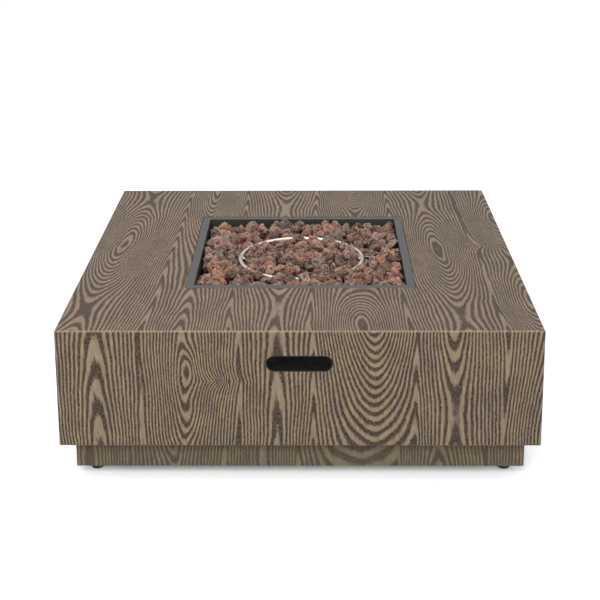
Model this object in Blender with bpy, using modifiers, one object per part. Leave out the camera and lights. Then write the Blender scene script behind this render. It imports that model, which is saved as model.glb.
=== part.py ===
"""Square gas fire pit: a cast, wood-grained body with a drop-in burner pan.

The body is one hollow casting on a recessed plinth with four levelling feet. A
steel pan hangs in the deck and holds a round gas burner under a bed of lava
rock. The gas valve, the igniter and their knob and button sit in a recessed
panel in the right-hand side. Units are metres and +Z is up. The origin is on
the floor, under the middle of the deck, and the front faces -Y.
"""

import math

import bmesh
import bpy
from mathutils import Matrix, Vector

# ---------------------------------------------------------------- body casting
BODY_WIDTH = 1.000
BODY_HEIGHT = 0.255
SHELL_WALL = 0.014
EDGE_ROUND = 0.0025
PLINTH_INSET = 0.029
PLINTH_HEIGHT = 0.062
PLINTH_WALL = 0.014
PLINTH_EDGE_ROUND = 0.0012
BASE_FRAME_THICKNESS = 0.012
BASE_FRAME_WIDTH = 0.110
BASE_FRAME_CHAMFER = 0.004
GLUE_GAP = 0.0005
FIT_GAP = 0.0003

# ---------------------------------------------------------------- levelling feet
FOOT_HEIGHT = 0.020
FOOT_PAD_RADIUS = 0.0135
FOOT_PAD_HEIGHT = 0.009
FOOT_NECK_RADIUS = 0.0075
FOOT_FROM_PLINTH_FACE = 0.037
FOOT_STEM_RADIUS = 0.004
FOOT_STEM_LENGTH = 0.038
FOOT_NUT_THICKNESS = 0.0065
FOOT_NUT_RADIUS = 0.0075
BRACKET_SHEET = 0.003
BRACKET_SIZE = 0.060
BRACKET_TOP_CLEARANCE = 0.008

# ---------------------------------------------------------------- handle slots
SLOT_LENGTH = 0.138
SLOT_HEIGHT = 0.035
SLOT_BELOW_DECK = 0.0715
LINER_WALL = 0.0015
LINER_PAST_WALL = 0.008
LINER_RECESS = 0.0004

# ---------------------------------------------------------------- burner pan
PAN_SIZE = 0.511
PAN_FLANGE = 0.016
PAN_DEPTH = 0.082
PAN_SHEET = 0.0015
FLANGE_SIDE_GAP = 0.002
FLANGE_BELOW_DECK = 0.0006
PAN_WALL_CLEARANCE = 0.003
DRAIN_HOLE_RADIUS = 0.004
DRAIN_HOLE_FROM_WALL = 0.035
CLIP_SHEET = 0.002
CLIP_WIDTH = 0.030
CLIP_LEG = 0.036
CLIP_DROP = 0.024
CLIP_SCREW_FROM_WALL = 0.026
SCREW_RADIUS = 0.0018
SCREW_HEAD_RADIUS = 0.0038
SCREW_HEAD_HEIGHT = 0.0018
SCREW_GRIP = 0.008
SCREW_HOLE_CLEARANCE = 0.0004

# ---------------------------------------------------------------- ring burner
RING_RADIUS = 0.1469
RING_TUBE_RADIUS = 0.0056
RING_TUBE_WALL = 0.0012
RING_BELOW_DECK = 0.023
RING_PORTS = 36
RING_PORT_RADIUS = 0.0014
CROSS_TUBE_RADIUS = 0.0050
HUB_RADIUS = 0.0165
HUB_HEIGHT = 0.026
NIPPLE_RADIUS = 0.0105
NIPPLE_BORE_RADIUS = 0.0078
NIPPLE_INTO_SOCKET = 0.010
NIPPLE_BELOW_PAN = 0.030
LOCKNUT_THICKNESS = 0.005
LOCKNUT_RADIUS = 0.0165
MIXER_RADIUS = 0.0145
MIXER_LENGTH = 0.042
MIXER_AIR_HOLE_RADIUS = 0.005
MIXER_OUTLET_RADIUS = 0.0055
MIXER_OUTLET_LENGTH = 0.012

# ---------------------------------------------------------------- lava rock
ROCK_TOP_BELOW_DECK = 0.017
ROCK_CLEARANCE = 0.003
ROCK_EDGE_ROUND = 0.014

# ---------------------------------------------------------------- control panel
PANEL_OPENING_WIDTH = 0.170
PANEL_OPENING_HEIGHT = 0.086
PANEL_RECESS = 0.034
PANEL_SHEET = 0.0015
PANEL_FLANGE = 0.013
PANEL_REBATE = 0.004
PANEL_SIDE_GAP = 0.001
PANEL_CUT_CLEARANCE = 0.002
KNOB_FROM_CENTRE = 0.038
IGNITER_FROM_CENTRE = 0.042

# ---------------------------------------------------------------- valve and knob
VALVE_DEPTH = 0.030
VALVE_WIDTH = 0.028
VALVE_HEIGHT = 0.036
VALVE_COLLAR_RADIUS = 0.007
VALVE_COLLAR_LENGTH = 0.0085
VALVE_NUT_RADIUS = 0.0125
VALVE_NUT_THICKNESS = 0.005
VALVE_PORT_RADIUS = 0.0065
VALVE_PORT_LENGTH = 0.012
VALVE_STEM_RADIUS = 0.003
RUNNING_GAP = 0.0003
KNOB_RADIUS = 0.0195
KNOB_SKIRT = 0.005
KNOB_GRIP_WIDTH = 0.011
KNOB_GRIP_HEIGHT = 0.013
KNOB_BORE_DEPTH = 0.013
KNOB_TRAVEL = 0.004
KNOB_STANDOFF = 0.0006

# ---------------------------------------------------------------- igniter
IGNITER_BODY_RADIUS = 0.0105
IGNITER_FLANGE_RADIUS = 0.014
IGNITER_FLANGE_THICKNESS = 0.002
IGNITER_NUT_RADIUS = 0.015
IGNITER_NUT_THICKNESS = 0.005
IGNITER_TERMINAL_RADIUS = 0.003
IGNITER_TERMINAL_LENGTH = 0.007
IGNITER_END_WALL = 0.004
BATTERY_RADIUS = 0.00725
BATTERY_LENGTH = 0.0505
CAP_RADIUS = 0.013
CAP_HEIGHT = 0.011
BUTTON_RADIUS = 0.0075
BUTTON_SHOULDER_RADIUS = 0.0095
BUTTON_SHOULDER = 0.002
BUTTON_STANDS_OUT = 0.0055
BUTTON_TRAVEL = 0.004

# ---------------------------------------------------------------- pilot parts
PILOT_FROM_RING = 0.015
PILOT_SHEET = 0.0015
PILOT_WIDTH = 0.036
PILOT_FOOT = 0.016
PILOT_TAB_BELOW_RING = 0.020
PILOT_SPACING = 0.010
INSULATOR_RADIUS = 0.0035
PROBE_RADIUS = 0.0025
SPARK_ROD_RADIUS = 0.0010
PILOT_BELOW_PAN = 0.012

# ---------------------------------------------------------------- gas lines
BURNER_HOSE_RADIUS = 0.0060
BURNER_HOSE_WAYPOINTS = ((0.14, 0.10), (0.40, 0.45), (0.72, 0.90))
BURNER_HOSE_STEP = 0.010
HOSE_NUT_RADIUS = 0.0095
HOSE_NUT_LENGTH = 0.013
SUPPLY_TUBE_RADIUS = 0.0048
SUPPLY_TUBE_INSET = 0.080
SUPPLY_TUBE_STEP = 0.007
WIRE_RADIUS = 0.0015
LEAD_RADIUS = 0.0012
INLET_NOTCH_WIDTH = 0.040
INLET_NOTCH_HEIGHT = 0.036
INLET_RADIUS = 0.0080
INLET_LENGTH = 0.022
INLET_RECESS = 0.004
INLET_BORE_RADIUS = 0.0040
TUBE_HOLE_CLEARANCE = 0.004

# ---------------------------------------------------------------- derived levels
PLINTH_BOTTOM = FOOT_HEIGHT
BODY_BOTTOM = PLINTH_BOTTOM + PLINTH_HEIGHT
DECK_TOP = BODY_BOTTOM + BODY_HEIGHT
DECK_UNDERSIDE = DECK_TOP - SHELL_WALL
BODY_HALF = BODY_WIDTH / 2
BODY_INNER_HALF = BODY_HALF - SHELL_WALL
PLINTH_HALF = BODY_HALF - PLINTH_INSET
PLINTH_INNER_HALF = PLINTH_HALF - PLINTH_WALL
BASE_TOP = BODY_BOTTOM + BASE_FRAME_THICKNESS

FLANGE_TOP = DECK_TOP - FLANGE_BELOW_DECK
FLANGE_UNDERSIDE = FLANGE_TOP - PAN_SHEET
PAN_HALF = PAN_SIZE / 2
PAN_WALL_HALF = PAN_HALF - PAN_FLANGE
PAN_INNER_HALF = PAN_WALL_HALF - PAN_SHEET
PAN_UNDERSIDE = DECK_TOP - PAN_DEPTH
PAN_FLOOR = PAN_UNDERSIDE + PAN_SHEET

RING_LEVEL = DECK_TOP - RING_BELOW_DECK
HUB_BOTTOM = RING_LEVEL + RING_TUBE_RADIUS - HUB_HEIGHT
NIPPLE_TOP = HUB_BOTTOM + NIPPLE_INTO_SOCKET - FIT_GAP
NIPPLE_BOTTOM = PAN_UNDERSIDE - NIPPLE_BELOW_PAN
MIXER_TOP = NIPPLE_BOTTOM + NIPPLE_INTO_SOCKET
MIXER_BOTTOM = MIXER_TOP - MIXER_LENGTH
PILOT_X = RING_RADIUS + RING_TUBE_RADIUS + PILOT_FROM_RING
PILOT_TAB = RING_LEVEL - PILOT_TAB_BELOW_RING

PANEL_LEVEL = BODY_BOTTOM + BODY_HEIGHT / 2
PANEL_FACE = BODY_HALF - PANEL_RECESS
PANEL_BACK = PANEL_FACE - PANEL_SHEET
VALVE_FRONT = PANEL_BACK - FIT_GAP
VALVE_BACK = VALVE_FRONT - VALVE_DEPTH
VALVE_MIDDLE = (VALVE_FRONT + VALVE_BACK) / 2
VALVE_Y = -KNOB_FROM_CENTRE
OUTLET_LEVEL = PANEL_LEVEL - VALVE_HEIGHT / 4
OUTLET_END = VALVE_BACK - VALVE_PORT_LENGTH
SENSOR_LEVEL = PANEL_LEVEL + VALVE_HEIGHT / 3
INLET_PORT_BOTTOM = PANEL_LEVEL - VALVE_HEIGHT / 2 - VALVE_PORT_LENGTH
KNOB_BACK = PANEL_FACE + FIT_GAP + VALVE_COLLAR_LENGTH + KNOB_STANDOFF + KNOB_TRAVEL
STEM_TIP = KNOB_BACK + KNOB_BORE_DEPTH - KNOB_TRAVEL - RUNNING_GAP
IGNITER_Y = IGNITER_FROM_CENTRE
IGNITER_FRONT = PANEL_FACE + FIT_GAP + IGNITER_FLANGE_THICKNESS
CAP_BACK = IGNITER_FRONT + FIT_GAP
CAP_FRONT = CAP_BACK + CAP_HEIGHT
SUPPLY_X = BODY_HALF - SUPPLY_TUBE_INSET
INLET_LEVEL = PLINTH_BOTTOM + INLET_NOTCH_HEIGHT / 2
INLET_END = PLINTH_HALF - INLET_RECESS

# ---------------------------------------------------------------- shape quality
ROUND_STEPS = 24
FINE_STEPS = 16
RING_STEPS = 72
RING_TUBE_STEPS = 10
CUT_OVERRUN = 0.010
MERGE_DISTANCE = 0.00001
ALONG_X = (0.0, math.pi / 2, 0.0)
UPRIGHT = (0.0, 0.0, 0.0)

PARTS = "square_fire_pit"
CUTTERS = "cutters"


# ================================================================ scene helpers
def clear_scene():
    """Removes what the startup file holds."""
    for obj in list(bpy.data.objects):
        bpy.data.objects.remove(obj, do_unlink=True)
    for collection in list(bpy.data.collections):
        bpy.data.collections.remove(collection)


def new_collection(name):
    collection = bpy.data.collections.new(name)
    bpy.context.scene.collection.children.link(collection)
    return collection


def finish(name, colour, roughness, metallic=0.0):
    """A Principled material, made once and shared."""
    made = bpy.data.materials.get(name)
    if made is None:
        made = bpy.data.materials.new(name)
        made.use_nodes = True
        made.diffuse_color = (*colour, 1.0)
        shader = made.node_tree.nodes["Principled BSDF"]
        shader.inputs["Base Color"].default_value = (*colour, 1.0)
        shader.inputs["Roughness"].default_value = roughness
        shader.inputs["Metallic"].default_value = metallic
    return made


def wood_grain_casting():
    return finish("wood_grain_casting", (0.21, 0.16, 0.11), 0.75)


def dark_paint():
    return finish("dark_paint", (0.09, 0.085, 0.08), 0.5)


def black_plastic():
    return finish("black_plastic", (0.012, 0.012, 0.013), 0.5)


def stainless_steel():
    return finish("stainless_steel", (0.62, 0.61, 0.58), 0.28, 1.0)


def zinc_steel():
    return finish("zinc_steel", (0.50, 0.51, 0.52), 0.4, 1.0)


def brass():
    return finish("brass", (0.62, 0.44, 0.18), 0.35, 1.0)


def lava_rock():
    return finish("lava_rock", (0.20, 0.11, 0.085), 0.95)


def ceramic():
    return finish("ceramic", (0.75, 0.73, 0.68), 0.35)


def battery_wrap():
    return finish("battery_wrap", (0.10, 0.16, 0.10), 0.4)


def copper():
    return finish("copper", (0.70, 0.33, 0.20), 0.35, 1.0)


def red_cable():
    return finish("red_cable", (0.30, 0.03, 0.02), 0.5)


def add_object(name, data, location, material, collection=PARTS):
    obj = bpy.data.objects.new(name, data)
    obj.location = location
    if material is not None:
        data.materials.append(material)
    bpy.data.collections[collection].objects.link(obj)
    return obj


def add_mesh(name, bm, location, material, collection=PARTS):
    mesh = bpy.data.meshes.new(name)
    bm.to_mesh(mesh)
    bm.free()
    return add_object(name, mesh, location, material, collection)


def smooth(obj, degrees=35):
    """Shades a round piece smooth and keeps its edges sharp."""
    obj.data.shade_smooth()
    obj.data.set_sharp_from_angle(angle=math.radians(degrees))
    return obj


def helper(obj):
    """Marks a cutter, or a shape that only joins another."""
    obj.hide_render = True
    obj.display_type = "WIRE"
    return obj


# ================================================================ shape helpers
def block(name, centre, size, material, collection=PARTS):
    """A box about its centre."""
    bm = bmesh.new()
    bmesh.ops.create_cube(bm, size=1.0, matrix=Matrix.Diagonal((*size, 1.0)))
    return add_mesh(name, bm, centre, material, collection)


def rod(name, start, end, radius, material, collection=PARTS, steps=ROUND_STEPS):
    """A cylinder from one point to another, with its origin in its middle."""
    start, end = Vector(start), Vector(end)
    bm = bmesh.new()
    bmesh.ops.create_cone(
        bm, cap_ends=True, segments=steps, radius1=radius, radius2=radius,
        depth=(end - start).length,
    )
    obj = add_mesh(name, bm, (start + end) / 2, material, collection)
    obj.rotation_euler = (end - start).to_track_quat("Z", "Y").to_euler()
    return smooth(obj)


def torus(name, level, ring_radius, tube_radius, material, collection=PARTS):
    """A ring of round tube about the burner's upright axis."""
    bpy.ops.mesh.primitive_torus_add(
        major_radius=ring_radius, minor_radius=tube_radius,
        major_segments=RING_STEPS, minor_segments=RING_TUBE_STEPS,
    )
    made = bpy.context.object
    mesh = made.data
    bpy.data.objects.remove(made)
    return smooth(add_object(name, mesh, (0, 0, level), material, collection), 60)


def turned(name, location, profile, material, rotation=UPRIGHT, closed=False, steps=ROUND_STEPS):
    """A lathe shape. The profile gives (radius, height) down its outer side."""
    bm = bmesh.new()
    points = [bm.verts.new((radius, 0.0, height)) for radius, height in profile]
    for first, second in zip(points, points[1:]):
        bm.edges.new((first, second))
    if closed:
        bm.edges.new((points[-1], points[0]))
    obj = add_mesh(name, bm, location, material)
    obj.rotation_euler = rotation
    screw = obj.modifiers.new("turn", "SCREW")
    screw.axis = "Z"
    screw.angle = math.tau
    screw.steps = steps
    screw.render_steps = steps
    screw.use_merge_vertices = True
    screw.merge_threshold = MERGE_DISTANCE
    screw.use_smooth_shade = False
    return obj


def circle_outline(radius, steps=ROUND_STEPS):
    angles = [math.tau * step / steps for step in range(steps)]
    return [(radius * math.cos(angle), radius * math.sin(angle)) for angle in angles]


def stadium_outline(length, height, steps=10):
    """A slot's outline: two straight sides and two half circles."""
    radius = height / 2
    middle = length / 2 - radius
    points = []
    for side, first in ((1, -math.pi / 2), (-1, math.pi / 2)):
        for step in range(steps + 1):
            angle = first + math.pi * step / steps
            points.append((side * middle + radius * math.cos(angle), radius * math.sin(angle)))
    return points


def plate(name, location, outlines, thickness, material, rotation=UPRIGHT):
    """A flat piece with holes, from 2D outlines, about its middle plane."""
    curve = bpy.data.curves.new(name, "CURVE")
    curve.dimensions = "2D"
    curve.fill_mode = "BOTH"
    curve.extrude = thickness / 2
    for outline in outlines:
        spline = curve.splines.new("POLY")
        spline.points.add(len(outline) - 1)
        for point, (x, y) in zip(spline.points, outline):
            point.co = (x, y, 0.0, 1.0)
        spline.use_cyclic_u = True
    obj = add_object(name, curve, location, material)
    obj.rotation_euler = rotation
    return obj


def wire(name, points, radius, material, resolution=2):
    """A round wire or tube along a list of points."""
    curve = bpy.data.curves.new(name, "CURVE")
    curve.dimensions = "3D"
    curve.bevel_depth = radius
    curve.bevel_resolution = resolution
    curve.use_fill_caps = True
    spline = curve.splines.new("POLY")
    spline.points.add(len(points) - 1)
    for point, place in zip(spline.points, points):
        point.co = (*place, 1.0)
    return add_object(name, curve, (0, 0, 0), material)


def as_mesh(curve_object, collection=PARTS):
    """The same object as a mesh whose caps are welded to its sides."""
    bpy.context.view_layer.update()
    graph = bpy.context.evaluated_depsgraph_get()
    mesh = bpy.data.meshes.new_from_object(curve_object.evaluated_get(graph))
    bm = bmesh.new()
    bm.from_mesh(mesh)
    bmesh.ops.remove_doubles(bm, verts=bm.verts, dist=MERGE_DISTANCE)
    bm.to_mesh(mesh)
    bm.free()
    name = curve_object.name
    place = curve_object.matrix_world.copy()
    bpy.data.objects.remove(curve_object)
    obj = bpy.data.objects.new(name, mesh)
    obj.matrix_world = place
    bpy.data.collections[collection].objects.link(obj)
    return obj


def point_between(around, share):
    """A point on the centripetal Catmull-Rom curve from the second of four points to the third."""
    times = [0.0]
    for first, second in zip(around, around[1:]):
        times.append(times[-1] + math.sqrt((second - first).length))
    time = times[1] + (times[2] - times[1]) * share

    def mix(low, high, start, end):
        return low.lerp(high, (time - start) / (end - start))

    rows = [mix(around[i], around[i + 1], times[i], times[i + 1]) for i in range(3)]
    pair = [mix(rows[i], rows[i + 1], times[i], times[i + 2]) for i in range(2)]
    return mix(pair[0], pair[1], times[1], times[2])


def smooth_route(knots, spacing):
    """Points along a smooth curve through the knots, about this far apart."""
    knots = [Vector(knot) for knot in knots]
    padded = [2 * knots[0] - knots[1], *knots, 2 * knots[-1] - knots[-2]]
    points = [knots[0]]
    for around in zip(padded, padded[1:], padded[2:], padded[3:]):
        count = max(1, round((around[2] - around[1]).length / spacing))
        points.extend(point_between(around, (step + 1) / count) for step in range(count))
    return points


def straight_end(end, direction, length):
    """Three knots in line, outward from a route's end, so that the route leaves it straight."""
    return [end + Vector(direction) * length * share for share in (0.0, 0.5, 1.0)]


def combine(obj, others, operation):
    """Cuts the others from the object, or joins them to it."""
    for other in others:
        helper(other)
        change = obj.modifiers.new(f"{operation.lower()}_{other.name}", "BOOLEAN")
        change.operation = operation
        change.object = other
        change.solver = "EXACT"
    return obj


def cut(obj, *cutters):
    return combine(obj, cutters, "DIFFERENCE")


def join(obj, *others):
    return combine(obj, others, "UNION")


def thicken(obj, thickness, offset):
    solid = obj.modifiers.new("sheet", "SOLIDIFY")
    solid.thickness = thickness
    solid.offset = offset
    solid.use_even_offset = True
    return obj


def round_edges(obj, width, segments=2):
    bevel = obj.modifiers.new("rounded_edges", "BEVEL")
    bevel.width = width
    bevel.segments = segments
    bevel.limit_method = "ANGLE"
    return obj


def open_box(name, centre, size, open_sides, material):
    """A box surface with the sides whose normals are listed left out."""
    bm = bmesh.new()
    bmesh.ops.create_cube(bm, size=1.0, matrix=Matrix.Diagonal((*size, 1.0)))
    bm.normal_update()
    gone = [
        face for face in bm.faces
        if any(face.normal.dot(Vector(side)) > 0.9 for side in open_sides)
    ]
    bmesh.ops.delete(bm, geom=gone, context="FACES")
    return add_mesh(name, bm, centre, material)


def flanged_tray(name, mouth, normal, half, flange_half, depth, sheet, material):
    """A sheet tray that hangs from a flange. The mouth is the middle of the flange's underside."""
    mouth, normal, half, flange_half = (Vector(item) for item in (mouth, normal, half, flange_half))
    along = Vector(map(abs, normal))
    inner_half = half - (Vector((1, 1, 1)) - along) * sheet
    outer_height = depth + sheet / 2
    outer_centre = mouth + normal * (sheet - depth) / 2 - normal * sheet / 4
    cavity_height = depth + CUT_OVERRUN
    cavity_centre = mouth + normal * (2 * sheet + CUT_OVERRUN - depth) / 2
    tray = block(name, outer_centre, 2 * half + along * outer_height, material)
    flange_size = 2 * flange_half + along * sheet
    join(tray, block(f"{name}_flange", mouth + normal * sheet / 2, flange_size, None, CUTTERS))
    cavity_size = 2 * inner_half + along * cavity_height
    return cut(tray, block(f"{name}_cavity", cavity_centre, cavity_size, None, CUTTERS))


def hexagon_nut(name, start, end, corner_radius, bore_radius, material):
    """A hexagon nut between two points on its axis."""
    start, end = Vector(start), Vector(end)
    rotation = (end - start).to_track_quat("Z", "Y").to_euler()
    outlines = [circle_outline(corner_radius, 6), circle_outline(bore_radius)]
    return plate(name, (start + end) / 2, outlines, (end - start).length, material, rotation)


def sides():
    """The four sides as (name, outward direction)."""
    return (("front", (0, -1)), ("rear", (0, 1)), ("left", (-1, 0)), ("right", (1, 0)))


def corners():
    """The four corners as (name, x sign, y sign)."""
    return (
        ("front_left", -1, -1), ("front_right", 1, -1),
        ("rear_left", -1, 1), ("rear_right", 1, 1),
    )


# ================================================================ body casting
def slot_cutter(name, y):
    """The handle slot's hole through a front or rear wall."""
    outline = [stadium_outline(SLOT_LENGTH, SLOT_HEIGHT)]
    place = (0, y, DECK_TOP - SLOT_BELOW_DECK)
    depth = SHELL_WALL + 2 * CUT_OVERRUN
    return as_mesh(plate(name, place, outline, depth, None, (math.pi / 2, 0, 0)), CUTTERS)


def screw_hole(name, mouth, inward, depth):
    """A blind pilot hole for a screw, from its mouth inward."""
    mouth, inward = Vector(mouth), Vector(inward)
    radius = SCREW_RADIUS + SCREW_HOLE_CLEARANCE
    start = mouth - inward * CUT_OVERRUN / 2
    return rod(name, start, mouth + inward * depth, radius, None, CUTTERS, FINE_STEPS)


def panel_screw_places():
    across = PANEL_OPENING_WIDTH / 2 + PANEL_FLANGE / 2
    up = PANEL_OPENING_HEIGHT / 2 + PANEL_FLANGE / 2
    return [
        (name, across * x_sign, PANEL_LEVEL + up * y_sign)
        for name, x_sign, y_sign in (
            ("lower_front", -1, -1), ("lower_rear", 1, -1), ("upper_front", -1, 1), ("upper_rear", 1, 1),
        )
    ]


def clip_screw_place(direction):
    return Vector(direction) * (PAN_WALL_HALF + FIT_GAP + CLIP_SCREW_FROM_WALL)


def make_body_shell():
    """The hollow casting: a deck and four walls, open underneath."""
    centre = (0, 0, BODY_BOTTOM + BODY_HEIGHT / 2)
    shell = open_box(
        "body_shell", centre, (BODY_WIDTH, BODY_WIDTH, BODY_HEIGHT), [(0, 0, -1)], wood_grain_casting()
    )
    thicken(shell, SHELL_WALL, -1.0)
    round_edges(shell, EDGE_ROUND)
    rebate_side = 2 * (PAN_HALF + FLANGE_SIDE_GAP)
    rebate_depth = DECK_TOP - FLANGE_UNDERSIDE + FIT_GAP
    opening_side = 2 * (PAN_WALL_HALF + PAN_WALL_CLEARANCE)
    panel_side = (PANEL_OPENING_WIDTH + 2 * PANEL_FLANGE, PANEL_OPENING_HEIGHT + 2 * PANEL_FLANGE)
    cutters = [
        block(
            "deck_rebate", (0, 0, DECK_TOP),
            (rebate_side, rebate_side, 2 * rebate_depth), None, CUTTERS,
        ),
        block(
            "deck_opening", (0, 0, DECK_TOP - SHELL_WALL / 2),
            (opening_side, opening_side, SHELL_WALL + 2 * CUT_OVERRUN), None, CUTTERS,
        ),
        slot_cutter("front_slot", -BODY_HALF + SHELL_WALL / 2),
        slot_cutter("rear_slot", BODY_HALF - SHELL_WALL / 2),
        block(
            "panel_rebate", (BODY_HALF, 0, PANEL_LEVEL),
            (2 * PANEL_REBATE, panel_side[0] + 2 * PANEL_SIDE_GAP, panel_side[1] + 2 * PANEL_SIDE_GAP),
            None, CUTTERS,
        ),
        block(
            "panel_opening", (BODY_HALF - SHELL_WALL / 2, 0, PANEL_LEVEL),
            (
                SHELL_WALL + 2 * CUT_OVERRUN,
                PANEL_OPENING_WIDTH + 2 * (PANEL_SHEET + PANEL_CUT_CLEARANCE),
                PANEL_OPENING_HEIGHT + 2 * (PANEL_SHEET + PANEL_CUT_CLEARANCE),
            ),
            None, CUTTERS,
        ),
    ]
    for name, y, z in panel_screw_places():
        mouth = (BODY_HALF - PANEL_REBATE, y, z)
        cutters.append(screw_hole(f"panel_hole_{name}", mouth, (-1, 0, 0), SCREW_GRIP))
    for name, direction in sides():
        x, y = clip_screw_place(direction)
        cutters.append(screw_hole(f"clip_hole_{name}", (x, y, DECK_UNDERSIDE), (0, 0, 1), SCREW_GRIP))
    return cut(shell, *cutters)


def make_base_frame():
    """The flat board ring that closes the body's underside and carries the plinth."""
    half = BODY_INNER_HALF - GLUE_GAP
    opening = 2 * (half - BASE_FRAME_WIDTH)
    place = (0, 0, (BODY_BOTTOM + BASE_TOP) / 2)
    frame = block("base_frame", place, (2 * half, 2 * half, BASE_FRAME_THICKNESS), wood_grain_casting())
    round_edges(frame, BASE_FRAME_CHAMFER, 1)
    through = BASE_FRAME_THICKNESS + 2 * CUT_OVERRUN
    tube_hole = (SUPPLY_X, VALVE_Y, place[2] - through / 2)
    cut(
        frame,
        block("base_opening", place, (opening, opening, through), None, CUTTERS),
        rod(
            "supply_hole", tube_hole, (SUPPLY_X, VALVE_Y, place[2] + through / 2),
            SUPPLY_TUBE_RADIUS + TUBE_HOLE_CLEARANCE, None, CUTTERS,
        ),
    )


def make_plinth():
    """The recessed base: four walls, with a notch for the gas inlet on the right."""
    height = PLINTH_HEIGHT - FIT_GAP
    centre = (0, 0, PLINTH_BOTTOM + height / 2)
    side = 2 * PLINTH_HALF
    plinth = open_box("plinth", centre, (side, side, height), [(0, 0, -1), (0, 0, 1)], wood_grain_casting())
    thicken(plinth, PLINTH_WALL, -1.0)
    round_edges(plinth, PLINTH_EDGE_ROUND, 1)
    notch_centre = (PLINTH_HALF - PLINTH_WALL / 2, VALVE_Y, PLINTH_BOTTOM)
    notch_size = (PLINTH_WALL + 2 * CUT_OVERRUN, INLET_NOTCH_WIDTH, 2 * INLET_NOTCH_HEIGHT)
    cut(plinth, block("inlet_notch", notch_centre, notch_size, None, CUTTERS))


def make_handle_liners():
    """The black sleeves that line the two handle slots."""
    outer_length, outer_height = SLOT_LENGTH - 2 * FIT_GAP, SLOT_HEIGHT - 2 * FIT_GAP
    outlines = [
        stadium_outline(outer_length, outer_height),
        stadium_outline(outer_length - 2 * LINER_WALL, outer_height - 2 * LINER_WALL),
    ]
    depth = SHELL_WALL + LINER_PAST_WALL - LINER_RECESS
    for name, side in (("front", -1), ("rear", 1)):
        y = side * (BODY_HALF - LINER_RECESS - depth / 2)
        place = (0, y, DECK_TOP - SLOT_BELOW_DECK)
        plate(f"handle_liner_{name}", place, outlines, depth, black_plastic(), (math.pi / 2, 0, 0))


# ================================================================ levelling feet
def foot_place(x_sign, y_sign):
    across = PLINTH_HALF - FOOT_FROM_PLINTH_FACE
    return Vector((x_sign * across, y_sign * across, 0.0))


def make_corner_bracket(name, x_sign, y_sign):
    """A folded steel corner: a floor plate and two ears against the plinth's inside."""
    reach = PLINTH_INNER_HALF - FIT_GAP
    height = PLINTH_HEIGHT - BRACKET_TOP_CLEARANCE
    centre = (
        x_sign * (reach - BRACKET_SIZE / 2),
        y_sign * (reach - BRACKET_SIZE / 2),
        PLINTH_BOTTOM + FIT_GAP + height / 2,
    )
    open_sides = [(0, 0, 1), (-x_sign, 0, 0), (0, -y_sign, 0)]
    bracket = open_box(
        f"corner_bracket_{name}", centre, (BRACKET_SIZE, BRACKET_SIZE, height), open_sides, zinc_steel()
    )
    round_edges(bracket, BRACKET_SHEET, 1)
    thicken(bracket, BRACKET_SHEET, -1.0)
    foot = foot_place(x_sign, y_sign)
    bottom = Vector((foot.x, foot.y, PLINTH_BOTTOM - CUT_OVERRUN))
    top = Vector((foot.x, foot.y, PLINTH_BOTTOM + CUT_OVERRUN))
    hole = rod(f"stem_hole_{name}", bottom, top, FOOT_STEM_RADIUS + RUNNING_GAP, None, CUTTERS)
    cut(bracket, hole)


def make_foot_nut(name, x_sign, y_sign):
    foot = foot_place(x_sign, y_sign)
    base = PLINTH_BOTTOM + FIT_GAP + BRACKET_SHEET + FIT_GAP
    hexagon_nut(
        f"foot_nut_{name}", (foot.x, foot.y, base), (foot.x, foot.y, base + FOOT_NUT_THICKNESS),
        FOOT_NUT_RADIUS, FOOT_STEM_RADIUS + RUNNING_GAP, zinc_steel(),
    )


def make_levelling_foot(name, x_sign, y_sign):
    """A plastic pad moulded round a threaded stem, screwed in as far as it goes."""
    pad_top = FOOT_HEIGHT
    chamfer = FOOT_PAD_HEIGHT / 6
    profile = [
        (0.0, pad_top + FOOT_STEM_LENGTH),
        (FOOT_STEM_RADIUS - chamfer / 2, pad_top + FOOT_STEM_LENGTH),
        (FOOT_STEM_RADIUS, pad_top + FOOT_STEM_LENGTH - chamfer / 2),
        (FOOT_STEM_RADIUS, pad_top),
        (FOOT_NECK_RADIUS, pad_top),
        (FOOT_NECK_RADIUS, FOOT_PAD_HEIGHT + chamfer),
        (FOOT_PAD_RADIUS - chamfer, FOOT_PAD_HEIGHT),
        (FOOT_PAD_RADIUS, FOOT_PAD_HEIGHT - chamfer),
        (FOOT_PAD_RADIUS, chamfer),
        (FOOT_PAD_RADIUS - chamfer, 0.0),
        (0.0, 0.0),
    ]
    turned(f"levelling_foot_{name}", foot_place(x_sign, y_sign), profile, black_plastic())


# ================================================================ burner pan
def drain_holes():
    """Cutters for four drain holes near the pan's corners."""
    across = PAN_INNER_HALF - DRAIN_HOLE_FROM_WALL
    return [
        rod(
            f"drain_hole_{name}",
            (x_sign * across, y_sign * across, PAN_UNDERSIDE - CUT_OVERRUN),
            (x_sign * across, y_sign * across, PAN_FLOOR + CUT_OVERRUN),
            DRAIN_HOLE_RADIUS, None, CUTTERS, FINE_STEPS,
        )
        for name, x_sign, y_sign in corners()
    ]


def floor_hole(name, x, y, radius):
    bottom, top = (x, y, PAN_UNDERSIDE - CUT_OVERRUN), (x, y, PAN_FLOOR + CUT_OVERRUN)
    return rod(name, bottom, top, radius, None, CUTTERS)


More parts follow.
